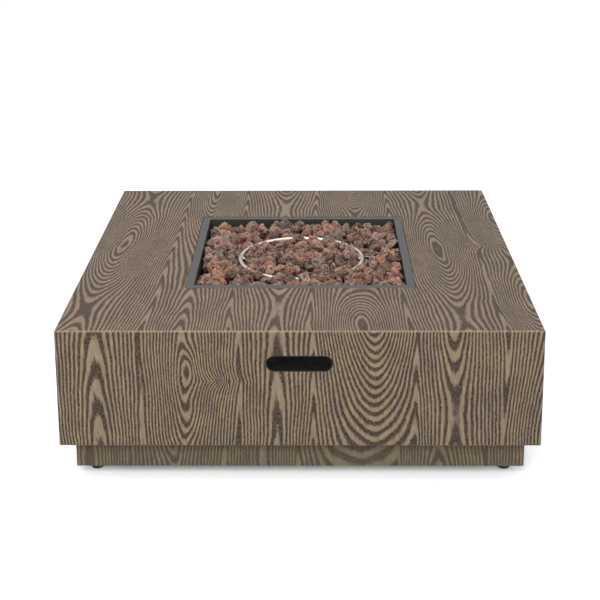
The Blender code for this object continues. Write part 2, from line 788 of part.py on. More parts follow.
def make_burner_pan():
    half = (PAN_WALL_HALF, PAN_WALL_HALF, 0)
    pan = flanged_tray(
        "burner_pan", (0, 0, FLANGE_UNDERSIDE), (0, 0, 1), half, (PAN_HALF, PAN_HALF, 0),
        FLANGE_UNDERSIDE - PAN_UNDERSIDE, PAN_SHEET, dark_paint(),
    )
    cut(
        pan,
        *drain_holes(),
        floor_hole("nipple_hole", 0, 0, NIPPLE_RADIUS + RUNNING_GAP),
        floor_hole("insulator_hole", PILOT_X, PILOT_SPACING, INSULATOR_RADIUS + RUNNING_GAP),
        floor_hole("probe_hole", PILOT_X, -PILOT_SPACING, PROBE_RADIUS + RUNNING_GAP),
    )


def make_pan_clip(name, direction):
    """An angle clip: one leg on the pan's wall, the other under the deck."""
    outward = Vector((*direction, 0.0))
    wall = PAN_WALL_HALF + FIT_GAP
    top = DECK_UNDERSIDE - FIT_GAP
    centre = outward * (wall + CLIP_LEG / 2) + Vector((0, 0, top - CLIP_DROP / 2))
    along = Vector((abs(direction[1]), abs(direction[0]), 0.0))
    size = Vector(map(abs, outward)) * CLIP_LEG + along * CLIP_WIDTH + Vector((0, 0, CLIP_DROP))
    open_sides = [tuple(outward), (0, 0, -1), tuple(along), tuple(-along)]
    clip = open_box(f"pan_clip_{name}", centre, size, open_sides, zinc_steel())
    thicken(clip, CLIP_SHEET, -1.0)
    x, y = clip_screw_place(direction)
    hole = rod(
        f"clip_screw_hole_{name}", (x, y, top - CLIP_SHEET - CUT_OVERRUN), (x, y, top + CUT_OVERRUN),
        SCREW_RADIUS + SCREW_HOLE_CLEARANCE, None, CUTTERS, FINE_STEPS,
    )
    cut(clip, hole)


def screw(name, seat, rotation, grip):
    """A pan-head screw. Its head rests at the seat and its shank runs down its own axis."""
    head_round = SCREW_HEAD_HEIGHT / 3
    profile = [
        (0.0, SCREW_HEAD_HEIGHT),
        (SCREW_HEAD_RADIUS - head_round, SCREW_HEAD_HEIGHT),
        (SCREW_HEAD_RADIUS, SCREW_HEAD_HEIGHT - head_round),
        (SCREW_HEAD_RADIUS, 0.0),
        (SCREW_RADIUS, 0.0),
        (SCREW_RADIUS, -grip),
        (0.0, -grip),
    ]
    turned(name, seat, profile, zinc_steel(), rotation, steps=FINE_STEPS)


def make_clip_screw(name, direction):
    x, y = clip_screw_place(direction)
    seat = (x, y, DECK_UNDERSIDE - FIT_GAP - CLIP_SHEET - FIT_GAP)
    grip = CLIP_SHEET + 2 * FIT_GAP + SCREW_GRIP - GLUE_GAP
    screw(f"clip_screw_{name}", seat, (math.pi, 0, 0), grip)


def make_rock_bed():
    """The heap of lava rock, with room round the burner, its hub and the pilot parts."""
    half = PAN_INNER_HALF - ROCK_CLEARANCE
    top = DECK_TOP - ROCK_TOP_BELOW_DECK
    bottom = PAN_FLOOR + FIT_GAP
    centre = (0, 0, (top + bottom) / 2)
    bed = block("lava_rock_bed", centre, (2 * half, 2 * half, top - bottom), lava_rock())
    round_edges(bed, ROCK_EDGE_ROUND, 2)
    above = DECK_TOP + CUT_OVERRUN
    channel = RING_TUBE_RADIUS + ROCK_CLEARANCE
    low = RING_LEVEL - channel
    annulus = plate(
        "ring_channel", (0, 0, (low + above) / 2),
        [circle_outline(RING_RADIUS + channel, RING_STEPS), circle_outline(RING_RADIUS - channel, RING_STEPS)],
        above - low, None,
    )
    pilot_low, pilot_high = RING_RADIUS, PILOT_X + PILOT_FOOT + ROCK_CLEARANCE
    cut(
        bed,
        as_mesh(annulus, CUTTERS),
        block(
            "cross_tube_channel", (0, 0, (low + above) / 2),
            (2 * RING_RADIUS, 2 * channel, above - low), None, CUTTERS,
        ),
        rod(
            "hub_well", (0, 0, bottom - CUT_OVERRUN), (0, 0, above),
            max(HUB_RADIUS, LOCKNUT_RADIUS) + ROCK_CLEARANCE, None, CUTTERS,
        ),
        block(
            "pilot_well", ((pilot_low + pilot_high) / 2, 0, (bottom + above) / 2),
            (pilot_high - pilot_low, PILOT_WIDTH + 2 * ROCK_CLEARANCE, above - bottom + CUT_OVERRUN),
            None, CUTTERS,
        ),
    )


# ================================================================ ring burner
def port_cutters():
    """One cutter for all the gas ports in the top of the ring."""
    bm = bmesh.new()
    length = RING_TUBE_WALL + RING_TUBE_RADIUS / 2
    for port in range(RING_PORTS):
        angle = math.tau * (port + 0.5) / RING_PORTS
        place = Matrix.Translation(
            (RING_RADIUS * math.cos(angle), RING_RADIUS * math.sin(angle), RING_TUBE_RADIUS)
        )
        bmesh.ops.create_cone(
            bm, cap_ends=True, segments=8, radius1=RING_PORT_RADIUS, radius2=RING_PORT_RADIUS,
            depth=length, matrix=place,
        )
    return add_mesh("gas_ports", bm, (0, 0, RING_LEVEL), None, CUTTERS)


def make_burner_ring():
    """A ring of stainless tube, a cross tube and a hub with a socket, hollow throughout."""
    bore = RING_TUBE_RADIUS - RING_TUBE_WALL
    cross_bore = CROSS_TUBE_RADIUS - RING_TUBE_WALL
    left, right = (-RING_RADIUS, 0, RING_LEVEL), (RING_RADIUS, 0, RING_LEVEL)
    hub_top = HUB_BOTTOM + HUB_HEIGHT
    ring = torus("burner_ring", RING_LEVEL, RING_RADIUS, RING_TUBE_RADIUS, stainless_steel())
    join(
        ring,
        rod("cross_tube", left, right, CROSS_TUBE_RADIUS, None, CUTTERS, FINE_STEPS),
        rod("hub", (0, 0, HUB_BOTTOM), (0, 0, hub_top), HUB_RADIUS, None, CUTTERS),
    )
    cut(
        ring,
        torus("ring_bore", RING_LEVEL, RING_RADIUS, bore, None, CUTTERS),
        rod("cross_bore", left, right, cross_bore, None, CUTTERS, FINE_STEPS),
        rod(
            "hub_socket", (0, 0, HUB_BOTTOM - CUT_OVERRUN), (0, 0, HUB_BOTTOM + NIPPLE_INTO_SOCKET),
            NIPPLE_RADIUS + RUNNING_GAP, None, CUTTERS,
        ),
        rod(
            "hub_bore", (0, 0, HUB_BOTTOM), (0, 0, RING_LEVEL),
            NIPPLE_BORE_RADIUS, None, CUTTERS,
        ),
        port_cutters(),
    )


def make_nipple_and_nuts():
    """The threaded nipple that carries the burner, clamped to the pan by two nuts."""
    profile = [
        (NIPPLE_RADIUS, NIPPLE_TOP), (NIPPLE_RADIUS, NIPPLE_BOTTOM),
        (NIPPLE_BORE_RADIUS, NIPPLE_BOTTOM), (NIPPLE_BORE_RADIUS, NIPPLE_TOP),
    ]
    turned("burner_nipple", (0, 0, 0), profile, zinc_steel(), closed=True)
    bore = NIPPLE_RADIUS + RUNNING_GAP
    upper, lower = PAN_FLOOR + FIT_GAP, PAN_UNDERSIDE - FIT_GAP
    for name, base in (("upper", upper), ("lower", lower - LOCKNUT_THICKNESS)):
        hexagon_nut(
            f"burner_locknut_{name}", (0, 0, base), (0, 0, base + LOCKNUT_THICKNESS),
            LOCKNUT_RADIUS, bore, zinc_steel(),
        )


def make_air_mixer():
    """The brass mixer under the nipple, with cross holes that draw in air."""
    socket = NIPPLE_RADIUS + RUNNING_GAP
    outlet_end = MIXER_BOTTOM - MIXER_OUTLET_LENGTH
    jet_radius = MIXER_OUTLET_RADIUS / 2
    throat = MIXER_TOP - NIPPLE_INTO_SOCKET - FIT_GAP
    chamber_bottom = MIXER_BOTTOM + MIXER_LENGTH / 5
    profile = [
        (MIXER_RADIUS, MIXER_TOP), (MIXER_RADIUS, MIXER_BOTTOM),
        (MIXER_OUTLET_RADIUS, MIXER_BOTTOM), (MIXER_OUTLET_RADIUS, outlet_end),
        (jet_radius, outlet_end), (jet_radius, chamber_bottom),
        (NIPPLE_BORE_RADIUS, chamber_bottom), (NIPPLE_BORE_RADIUS, throat),
        (socket, throat), (socket, MIXER_TOP),
    ]
    mixer = turned("air_mixer", (0, 0, 0), profile, brass(), closed=True)
    level = (throat + chamber_bottom) / 2
    reach = MIXER_RADIUS + CUT_OVERRUN
    cut(
        mixer,
        rod("air_hole_x", (-reach, 0, level), (reach, 0, level), MIXER_AIR_HOLE_RADIUS, None, CUTTERS),
    )


# ================================================================ gas lines
def hose_nut_ends():
    """Where the burner hose's two nuts start, as (mixer end, valve end)."""
    return MIXER_BOTTOM - FIT_GAP, VALVE_BACK - FIT_GAP


def make_burner_hose():
    """The flexible line from the valve's outlet to the mixer, with a nut on each end."""
    mixer_nut, valve_nut = hose_nut_ends()
    mixer_end = mixer_nut - HOSE_NUT_LENGTH
    valve_end = valve_nut - HOSE_NUT_LENGTH
    hose_start = Vector((0, 0, mixer_end - FIT_GAP))
    hose_end = Vector((valve_end - FIT_GAP, VALVE_Y, OUTLET_LEVEL))
    sag = min(hose_start.z, hose_end.z) - 4 * BURNER_HOSE_RADIUS
    reach = hose_end.x - hose_start.x
    lead = 2 * BURNER_HOSE_RADIUS
    heights = (sag, sag, (sag + hose_end.z) / 2)
    knots = [
        *straight_end(hose_start, (0, 0, -1), lead),
        *(
            Vector((along * reach, across * VALVE_Y, height))
            for (along, across), height in zip(BURNER_HOSE_WAYPOINTS, heights)
        ),
        *reversed(straight_end(hose_end, (-1, 0, 0), lead)),
    ]
    wire("burner_hose", smooth_route(knots, BURNER_HOSE_STEP), BURNER_HOSE_RADIUS, stainless_steel())
    hexagon_nut(
        "hose_nut_mixer", (0, 0, mixer_end), (0, 0, mixer_nut),
        HOSE_NUT_RADIUS, MIXER_OUTLET_RADIUS + RUNNING_GAP, brass(),
    )
    hexagon_nut(
        "hose_nut_valve", (valve_end, VALVE_Y, OUTLET_LEVEL), (valve_nut, VALVE_Y, OUTLET_LEVEL),
        HOSE_NUT_RADIUS, VALVE_PORT_RADIUS + RUNNING_GAP, brass(),
    )


def make_supply_line():
    """The rigid tube from the valve's inlet down to the inlet fitting in the plinth's notch."""
    start = Vector((VALVE_MIDDLE, VALVE_Y, INLET_PORT_BOTTOM - FIT_GAP))
    fitting_back = INLET_END - INLET_LENGTH
    socket = INLET_LENGTH / 3
    end = Vector((fitting_back + socket - FIT_GAP, VALVE_Y, INLET_LEVEL))
    bend = 0.6 * (BODY_BOTTOM - INLET_LEVEL)
    knots = [
        *straight_end(start, (0, 0, -1), 3 * SUPPLY_TUBE_RADIUS),
        Vector((SUPPLY_X, VALVE_Y, BASE_TOP + 4 * SUPPLY_TUBE_RADIUS)),
        Vector((SUPPLY_X, VALVE_Y, BODY_BOTTOM)),
        Vector((SUPPLY_X + 0.15 * bend, VALVE_Y, INLET_LEVEL + 0.5 * bend)),
        *reversed(straight_end(end, (-1, 0, 0), socket + SUPPLY_TUBE_RADIUS)),
    ]
    wire("supply_tube", smooth_route(knots, SUPPLY_TUBE_STEP), SUPPLY_TUBE_RADIUS, copper())
    bore = SUPPLY_TUBE_RADIUS + RUNNING_GAP
    profile = [
        (INLET_RADIUS, INLET_LENGTH), (INLET_RADIUS, INLET_LENGTH / 2),
        (1.25 * INLET_RADIUS, INLET_LENGTH / 2), (1.25 * INLET_RADIUS, 0.0),
        (bore, 0.0), (bore, socket), (INLET_BORE_RADIUS, socket), (INLET_BORE_RADIUS, INLET_LENGTH),
    ]
    place = (fitting_back, VALVE_Y, INLET_LEVEL)
    turned("gas_inlet_fitting", place, profile, brass(), ALONG_X, closed=True)


# ================================================================ control panel
def make_control_panel():
    """The recessed black tray in the right-hand wall."""
    half = (0, PANEL_OPENING_WIDTH / 2 + PANEL_SHEET, PANEL_OPENING_HEIGHT / 2 + PANEL_SHEET)
    flange_half = (0, PANEL_OPENING_WIDTH / 2 + PANEL_FLANGE, PANEL_OPENING_HEIGHT / 2 + PANEL_FLANGE)
    mouth = BODY_HALF - PANEL_REBATE + FIT_GAP
    panel = flanged_tray(
        "control_panel", (mouth, 0, PANEL_LEVEL), (1, 0, 0), half, flange_half,
        mouth - PANEL_BACK, PANEL_SHEET, dark_paint(),
    )
    far = PANEL_FACE + CUT_OVERRUN / 2
    near = PANEL_BACK - CUT_OVERRUN / 2
    cutters = [
        rod(
            "collar_hole", (near, VALVE_Y, PANEL_LEVEL), (far, VALVE_Y, PANEL_LEVEL),
            VALVE_COLLAR_RADIUS + RUNNING_GAP, None, CUTTERS,
        ),
        rod(
            "igniter_hole", (near, IGNITER_Y, PANEL_LEVEL), (far, IGNITER_Y, PANEL_LEVEL),
            IGNITER_BODY_RADIUS + RUNNING_GAP, None, CUTTERS,
        ),
    ]
    for name, y, z in panel_screw_places():
        start = (mouth - CUT_OVERRUN / 2, y, z)
        end = (mouth + CUT_OVERRUN / 2, y, z)
        radius = SCREW_RADIUS + SCREW_HOLE_CLEARANCE
        cutters.append(rod(f"flange_hole_{name}", start, end, radius, None, CUTTERS, FINE_STEPS))
    cut(panel, *cutters)


def make_panel_screws():
    mouth = BODY_HALF - PANEL_REBATE + FIT_GAP
    seat = mouth + PANEL_SHEET + FIT_GAP
    grip = PANEL_SHEET + 2 * FIT_GAP + SCREW_GRIP - GLUE_GAP
    for name, y, z in panel_screw_places():
        screw(f"panel_screw_{name}", (seat, y, z), ALONG_X, grip)


# ================================================================ valve and knob
def make_gas_valve():
    """The brass valve: a block, a threaded collar, and ports for outlet, inlet and sensor."""
    valve = block(
        "gas_valve", (VALVE_MIDDLE, VALVE_Y, PANEL_LEVEL), (VALVE_DEPTH, VALVE_WIDTH, VALVE_HEIGHT), brass()
    )
    round_edges(valve, VALVE_WIDTH / 14, 1)
    collar_end = PANEL_FACE + FIT_GAP + VALVE_COLLAR_LENGTH
    join(
        valve,
        rod(
            "valve_collar", (VALVE_MIDDLE, VALVE_Y, PANEL_LEVEL), (collar_end, VALVE_Y, PANEL_LEVEL),
            VALVE_COLLAR_RADIUS, None, CUTTERS,
        ),
        rod(
            "valve_outlet", (OUTLET_END, VALVE_Y, OUTLET_LEVEL), (VALVE_MIDDLE, VALVE_Y, OUTLET_LEVEL),
            VALVE_PORT_RADIUS, None, CUTTERS, FINE_STEPS,
        ),
        rod(
            "valve_inlet", (VALVE_MIDDLE, VALVE_Y, INLET_PORT_BOTTOM), (VALVE_MIDDLE, VALVE_Y, PANEL_LEVEL),
            VALVE_PORT_RADIUS, None, CUTTERS, FINE_STEPS,
        ),
    )
    stem_bore_end = VALVE_FRONT - VALVE_DEPTH / 2
    cut(
        valve,
        rod(
            "stem_bore", (stem_bore_end, VALVE_Y, PANEL_LEVEL),
            (collar_end + CUT_OVERRUN, VALVE_Y, PANEL_LEVEL),
            VALVE_STEM_RADIUS + RUNNING_GAP, None, CUTTERS,
        ),
    )
    nut_back = PANEL_FACE + FIT_GAP
    hexagon_nut(
        "valve_nut", (nut_back, VALVE_Y, PANEL_LEVEL), (nut_back + VALVE_NUT_THICKNESS, VALVE_Y, PANEL_LEVEL),
        VALVE_NUT_RADIUS, VALVE_COLLAR_RADIUS + RUNNING_GAP, zinc_steel(),
    )


def make_valve_stem():
    start = VALVE_FRONT - VALVE_DEPTH / 2 + FIT_GAP
    rod(
        "valve_stem", (start, VALVE_Y, PANEL_LEVEL), (STEM_TIP, VALVE_Y, PANEL_LEVEL),
        VALVE_STEM_RADIUS, zinc_steel(),
    )


def make_control_knob():
    """A round skirt with a raised grip bar, bored from behind for the stem."""
    edge = KNOB_SKIRT / 5
    profile = [
        (0.0, KNOB_SKIRT), (KNOB_RADIUS - 2 * edge, KNOB_SKIRT), (KNOB_RADIUS, KNOB_SKIRT - 2 * edge),
        (KNOB_RADIUS, 0.0), (0.0, 0.0),
    ]
    knob = turned("control_knob", (KNOB_BACK, VALVE_Y, PANEL_LEVEL), profile, black_plastic(), ALONG_X)
    sunk = KNOB_SKIRT / 2
    grip_middle = KNOB_BACK + KNOB_SKIRT + (KNOB_GRIP_HEIGHT - sunk) / 2
    grip = plate(
        "knob_grip", (grip_middle, VALVE_Y, PANEL_LEVEL),
        [stadium_outline(2 * (KNOB_RADIUS - 2 * edge), KNOB_GRIP_WIDTH)],
        KNOB_GRIP_HEIGHT + sunk, None, ALONG_X,
    )
    join(knob, as_mesh(grip, CUTTERS))
    cut(
        knob,
        rod(
            "knob_bore", (KNOB_BACK - CUT_OVERRUN, VALVE_Y, PANEL_LEVEL),
            (KNOB_BACK + KNOB_BORE_DEPTH, VALVE_Y, PANEL_LEVEL),
            VALVE_STEM_RADIUS + RUNNING_GAP, None, CUTTERS, FINE_STEPS,
        ),
    )


# ================================================================ igniter
def igniter_depth():
    """How far the igniter's body reaches behind its front face."""
    return FIT_GAP + BATTERY_LENGTH + FIT_GAP + IGNITER_END_WALL


def make_igniter():
    """The igniter's tube with its flange, its clamping nut and the battery inside."""
    depth = igniter_depth()
    bore = BATTERY_RADIUS + RUNNING_GAP
    terminal = -depth - IGNITER_TERMINAL_LENGTH
    profile = [
        (IGNITER_FLANGE_RADIUS, 0.0), (IGNITER_FLANGE_RADIUS, -IGNITER_FLANGE_THICKNESS),
        (IGNITER_BODY_RADIUS, -IGNITER_FLANGE_THICKNESS), (IGNITER_BODY_RADIUS, -depth),
        (IGNITER_TERMINAL_RADIUS, -depth), (IGNITER_TERMINAL_RADIUS, terminal), (0.0, terminal),
        (0.0, -depth + IGNITER_END_WALL), (bore, -depth + IGNITER_END_WALL), (bore, 0.0),
    ]
    place = (IGNITER_FRONT, IGNITER_Y, PANEL_LEVEL)
    turned("igniter_module", place, profile, black_plastic(), ALONG_X, closed=True)
    nut_front = PANEL_BACK - FIT_GAP
    hexagon_nut(
        "igniter_nut", (nut_front - IGNITER_NUT_THICKNESS, IGNITER_Y, PANEL_LEVEL),
        (nut_front, IGNITER_Y, PANEL_LEVEL),
        IGNITER_NUT_RADIUS, IGNITER_BODY_RADIUS + RUNNING_GAP, black_plastic(),
    )
    tip = BATTERY_RADIUS / 3
    tip_height = BATTERY_LENGTH / 40
    cell = [
        (0.0, BATTERY_LENGTH), (tip, BATTERY_LENGTH), (tip, BATTERY_LENGTH - tip_height),
        (BATTERY_RADIUS, BATTERY_LENGTH - tip_height), (BATTERY_RADIUS, 0.0), (0.0, 0.0),
    ]
    back = IGNITER_FRONT - FIT_GAP - BATTERY_LENGTH
    turned("igniter_battery", (back, IGNITER_Y, PANEL_LEVEL), cell, battery_wrap(), ALONG_X)


def make_igniter_cap_and_button():
    """The screw-on cap and the push button that it holds."""
    lip = CAP_HEIGHT / 4
    narrow = BUTTON_RADIUS + RUNNING_GAP
    wide = BUTTON_SHOULDER_RADIUS + RUNNING_GAP
    edge = CAP_HEIGHT / 10
    cap = [
        (CAP_RADIUS - edge, CAP_HEIGHT), (CAP_RADIUS, CAP_HEIGHT - edge), (CAP_RADIUS, 0.0),
        (wide, 0.0), (wide, CAP_HEIGHT - lip), (narrow, CAP_HEIGHT - lip), (narrow, CAP_HEIGHT),
    ]
    turned("igniter_cap", (CAP_BACK, IGNITER_Y, PANEL_LEVEL), cap, black_plastic(), ALONG_X, closed=True)
    shoulder_front = CAP_HEIGHT - lip - FIT_GAP
    front = CAP_HEIGHT + BUTTON_STANDS_OUT
    crown = BUTTON_STANDS_OUT / 6
    button = [
        (0.0, front), (BUTTON_RADIUS - 2 * crown, front), (BUTTON_RADIUS, front - crown),
        (BUTTON_RADIUS, shoulder_front), (BUTTON_SHOULDER_RADIUS, shoulder_front),
        (BUTTON_SHOULDER_RADIUS, shoulder_front - BUTTON_SHOULDER),
        (0.0, shoulder_front - BUTTON_SHOULDER),
    ]
    turned("igniter_button", (CAP_BACK, IGNITER_Y, PANEL_LEVEL), button, black_plastic(), ALONG_X)


# ================================================================ pilot parts
def make_pilot_bracket():
    """A folded strip on the pan's floor whose top tab holds the electrode and the probe."""
    floor = PAN_FLOOR + FIT_GAP
    height = PILOT_TAB - floor
    tab_reach = 2 * (PILOT_SPACING - PROBE_RADIUS)
    back = PILOT_X + PILOT_FOOT - PILOT_SHEET
    centre = (back - tab_reach / 2, 0, floor + height / 2)
    strip = open_box(
        "pilot_bracket", centre, (tab_reach, PILOT_WIDTH, height),
        [(-1, 0, 0), (0, 1, 0), (0, -1, 0)], stainless_steel(),
    )
    thicken(strip, PILOT_SHEET, -1.0)
    well_low, well_high = floor - CUT_OVERRUN, PILOT_TAB + CUT_OVERRUN
    cut(
        strip,
        rod(
            "tab_hole_insulator", (PILOT_X, PILOT_SPACING, well_low), (PILOT_X, PILOT_SPACING, well_high),
            INSULATOR_RADIUS + RUNNING_GAP, None, CUTTERS, FINE_STEPS,
        ),
        rod(
            "tab_hole_probe", (PILOT_X, -PILOT_SPACING, well_low), (PILOT_X, -PILOT_SPACING, well_high),
            PROBE_RADIUS + RUNNING_GAP, None, CUTTERS, FINE_STEPS,
        ),
    )


def make_spark_electrode():
    """The ceramic insulator and the bent rod that throws the spark to the ring."""
    low = PAN_UNDERSIDE - PILOT_BELOW_PAN
    high = RING_LEVEL - RING_TUBE_RADIUS / 2
    rod(
        "electrode_insulator", (PILOT_X, PILOT_SPACING, low), (PILOT_X, PILOT_SPACING, high),
        INSULATOR_RADIUS, ceramic(), steps=FINE_STEPS,
    )
    foot = Vector((PILOT_X, PILOT_SPACING, high + FIT_GAP))
    tip_x = RING_RADIUS + RING_TUBE_RADIUS + PILOT_FROM_RING / 4
    knots = [
        foot,
        foot + Vector((0, 0, RING_TUBE_RADIUS / 4)),
        Vector(((PILOT_X + tip_x) / 2, PILOT_SPACING, RING_LEVEL + RING_TUBE_RADIUS / 8)),
        Vector((tip_x, PILOT_SPACING, RING_LEVEL + RING_TUBE_RADIUS / 4)),
    ]
    wire("electrode_rod", smooth_route(knots, 0.002), SPARK_ROD_RADIUS, stainless_steel(), 1)


def make_thermocouple():
    low = PAN_UNDERSIDE - PILOT_BELOW_PAN
    profile = [
        (0.0, RING_LEVEL), (PROBE_RADIUS / 2, RING_LEVEL), (PROBE_RADIUS, RING_LEVEL - PROBE_RADIUS),
        (PROBE_RADIUS, low), (0.0, low),
    ]
    turned("thermocouple_probe", (PILOT_X, -PILOT_SPACING, 0), profile, copper(), steps=FINE_STEPS)


def make_leads():
    """The ignition wire and the sensor lead, from the pilot parts to the control panel."""
    low = PAN_UNDERSIDE - PILOT_BELOW_PAN - FIT_GAP
    wire_start = Vector((PILOT_X, PILOT_SPACING, low))
    terminal = IGNITER_FRONT - igniter_depth() - IGNITER_TERMINAL_LENGTH - FIT_GAP
    wire_end = Vector((terminal, IGNITER_Y, PANEL_LEVEL))
    lead_start = Vector((PILOT_X, -PILOT_SPACING, low))
    lead_end = Vector((VALVE_BACK - FIT_GAP, VALVE_Y, SENSOR_LEVEL))
    for name, start, end, radius, material in (
        ("ignition_wire", wire_start, wire_end, WIRE_RADIUS, red_cable()),
        ("thermocouple_lead", lead_start, lead_end, LEAD_RADIUS, copper()),
    ):
        reach = end.x - start.x
        lead = 6 * radius
        knots = [
            *straight_end(start, (0, 0, -1), lead),
            Vector((start.x + 0.20 * reach, start.y, start.z - 2.5 * lead)),
            Vector((start.x + 0.55 * reach, (start.y + end.y) / 2, (start.z + end.z) / 2 - 2 * lead)),
            *reversed(straight_end(end, (-1, 0, 0), 2 * lead)),
        ]
        wire(name, smooth_route(knots, 0.009), radius, material, 1)


# ================================================================ assembly
def build():
    clear_scene()
    new_collection(PARTS)
    new_collection(CUTTERS)
    make_body_shell()
    make_base_frame()
    make_plinth()
    make_handle_liners()
    for name, x_sign, y_sign in corners():
        make_corner_bracket(name, x_sign, y_sign)
        make_foot_nut(name, x_sign, y_sign)
        make_levelling_foot(name, x_sign, y_sign)
    make_burner_pan()
    for name, direction in sides():
        make_pan_clip(name, direction)
        make_clip_screw(name, direction)
    make_rock_bed()
    make_burner_ring()
    make_nipple_and_nuts()
    make_air_mixer()
    make_burner_hose()
    make_supply_line()
    make_control_panel()
    make_panel_screws()
    make_gas_valve()
    make_valve_stem()
    make_control_knob()
    make_igniter()
    make_igniter_cap_and_button()
    make_pilot_bracket()
    make_spark_electrode()
    make_thermocouple()
    make_leads()


build()
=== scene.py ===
"""A square gas fire table of wood-grained cast stone, finished round its packed CAD frame.

Run as a script, it dresses the CAD pieces in their materials, builds the pieces that need
more shape than the CAD solids hold (lava stones, ring burner, hose, controls, screws, feet),
and sets up the studio. Lengths are in metres, in the CAD frame: X to the right, Y to the
rear, Z up, with the floor at zero.
"""

import math
from itertools import product
from typing import NamedTuple

import bmesh
import bpy
import numpy as np
from bpy.props import FloatProperty, FloatVectorProperty, IntProperty, PointerProperty
from mathutils import Matrix, Vector


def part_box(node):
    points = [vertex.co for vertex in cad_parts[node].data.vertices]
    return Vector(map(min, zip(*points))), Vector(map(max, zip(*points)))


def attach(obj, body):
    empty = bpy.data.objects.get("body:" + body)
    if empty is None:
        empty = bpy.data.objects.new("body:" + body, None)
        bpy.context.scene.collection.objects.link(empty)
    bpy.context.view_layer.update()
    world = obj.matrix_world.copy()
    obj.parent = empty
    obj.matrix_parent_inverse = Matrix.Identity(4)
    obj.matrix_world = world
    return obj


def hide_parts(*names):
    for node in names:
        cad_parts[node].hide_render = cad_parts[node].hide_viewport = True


bl_info = {
    "name": "Cast Stone Fire Table",
    "version": (1, 0, 0),
    "blender": (4, 5, 0),
    "location": "3D View > Sidebar > Fire Table",
    "description": "Finishes a square gas fire table: casting, lava stones, burner and controls",
    "category": "Add Mesh",
}

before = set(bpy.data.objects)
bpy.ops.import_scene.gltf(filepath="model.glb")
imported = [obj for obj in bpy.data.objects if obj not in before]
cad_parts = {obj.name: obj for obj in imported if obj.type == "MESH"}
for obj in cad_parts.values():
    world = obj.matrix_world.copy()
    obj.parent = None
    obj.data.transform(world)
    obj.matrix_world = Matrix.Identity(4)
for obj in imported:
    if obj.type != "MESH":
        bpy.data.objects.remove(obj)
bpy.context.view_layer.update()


# ---------------- places on the frame
def middle(node):
    low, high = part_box(node)
    return (low + high) / 2


SHELL_LOW, SHELL_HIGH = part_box("body_shell")
DECK_TOP = SHELL_HIGH.z
BODY_BOTTOM = SHELL_LOW.z
BODY_HALF = SHELL_HIGH.x
SHELL_WALL = 0.014
PLINTH_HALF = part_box("plinth")[1].x
PAN_LOW, PAN_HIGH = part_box("burner_pan")
PAN_SHEET = 0.0015
PAN_FLOOR = PAN_LOW.z + PAN_SHEET
PAN_FLANGE = 0.0175
PAN_INNER_HALF = PAN_HIGH.x - PAN_FLANGE
RING_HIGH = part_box("burner_ring")[1]
RING_TUBE_RADIUS = 0.0056
RING_RADIUS = RING_HIGH.x - RING_TUBE_RADIUS
RING_LEVEL = RING_HIGH.z - RING_TUBE_RADIUS
CROSS_TUBE_RADIUS = 0.0050
HUB_RADIUS = 0.0165
HUB_HEIGHT = 0.026
NIPPLE_CLEARANCE = 0.0105
PILOT_CLEARANCE = 0.006
PILOT_REACH = 0.012
HOSE_RADIUS = 0.0060
PANEL_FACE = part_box("valve_nut")[0].x - 0.0003
KNOB_LOW, KNOB_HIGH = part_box("control_knob")
KNOB_CENTRE = middle("control_knob")
CAP_LOW, CAP_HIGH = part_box("igniter_cap")
BUTTON_LOW, BUTTON_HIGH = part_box("igniter_button")
CORNERS = ("front_left", "front_right", "rear_left", "rear_right")
SIDES = ("front", "rear", "left", "right")
ALL_WAYS = (1.0, 1.0, 1.0)


def paint(red, green, blue):
    """A colour given in the usual 0 to 255 display values, as Blender's linear values."""
    return tuple(
        c / 12.92 if c <= 0.04045 else ((c + 0.055) / 1.055) ** 2.4
        for c in (red / 255, green / 255, blue / 255)
    )


def colour_property(name, description, value):
    return FloatVectorProperty(
        name=name, description=description, default=value, subtype="COLOR", min=0.0, max=1.0, size=3
    )


def length_property(name, description, value):
    return FloatProperty(name=name, description=description, default=value, unit="LENGTH", precision=5)


def angle_property(name, description, degrees):
    return FloatProperty(name=name, description=description, default=math.radians(degrees), subtype="ANGLE")


def number_property(name, description, value):
    return FloatProperty(name=name, description=description, default=value)


def count_property(name, description, value):
    return IntProperty(name=name, description=description, default=value, min=1)


# ---------------- sizes and colours to change
class CastingSettings(bpy.types.PropertyGroup):
    """The cast body and plinth."""

    early_wood: colour_property("Raised grain", "Colour of the light bands of the grain", paint(134, 117, 92))
    late_wood: colour_property("Sunk grain", "Colour of the dark lines of the grain", paint(38, 27, 18))
    wash: colour_property("Grey wash", "Weathered tint that lies over parts of the grain", paint(122, 107, 95))
    # Worn edge colour: worn paint, also the painted highlight on the top rim.
    worn_highlit_edge: colour_property("Worn edge", "Colour of the rubbed upper edges", paint(168, 150, 126))
    raw_cast: colour_property("Raw casting", "Colour of the unfinished inside", paint(139, 132, 122))
    deck_pitch: length_property("Deck ring pitch", "Distance between dark lines on the deck", 0.0062)
    wall_pitch: length_property("Wall ring pitch", "Distance between dark lines on the walls", 0.0066)
    relief: length_property("Relief", "Depth of the moulded grain", 0.0010)


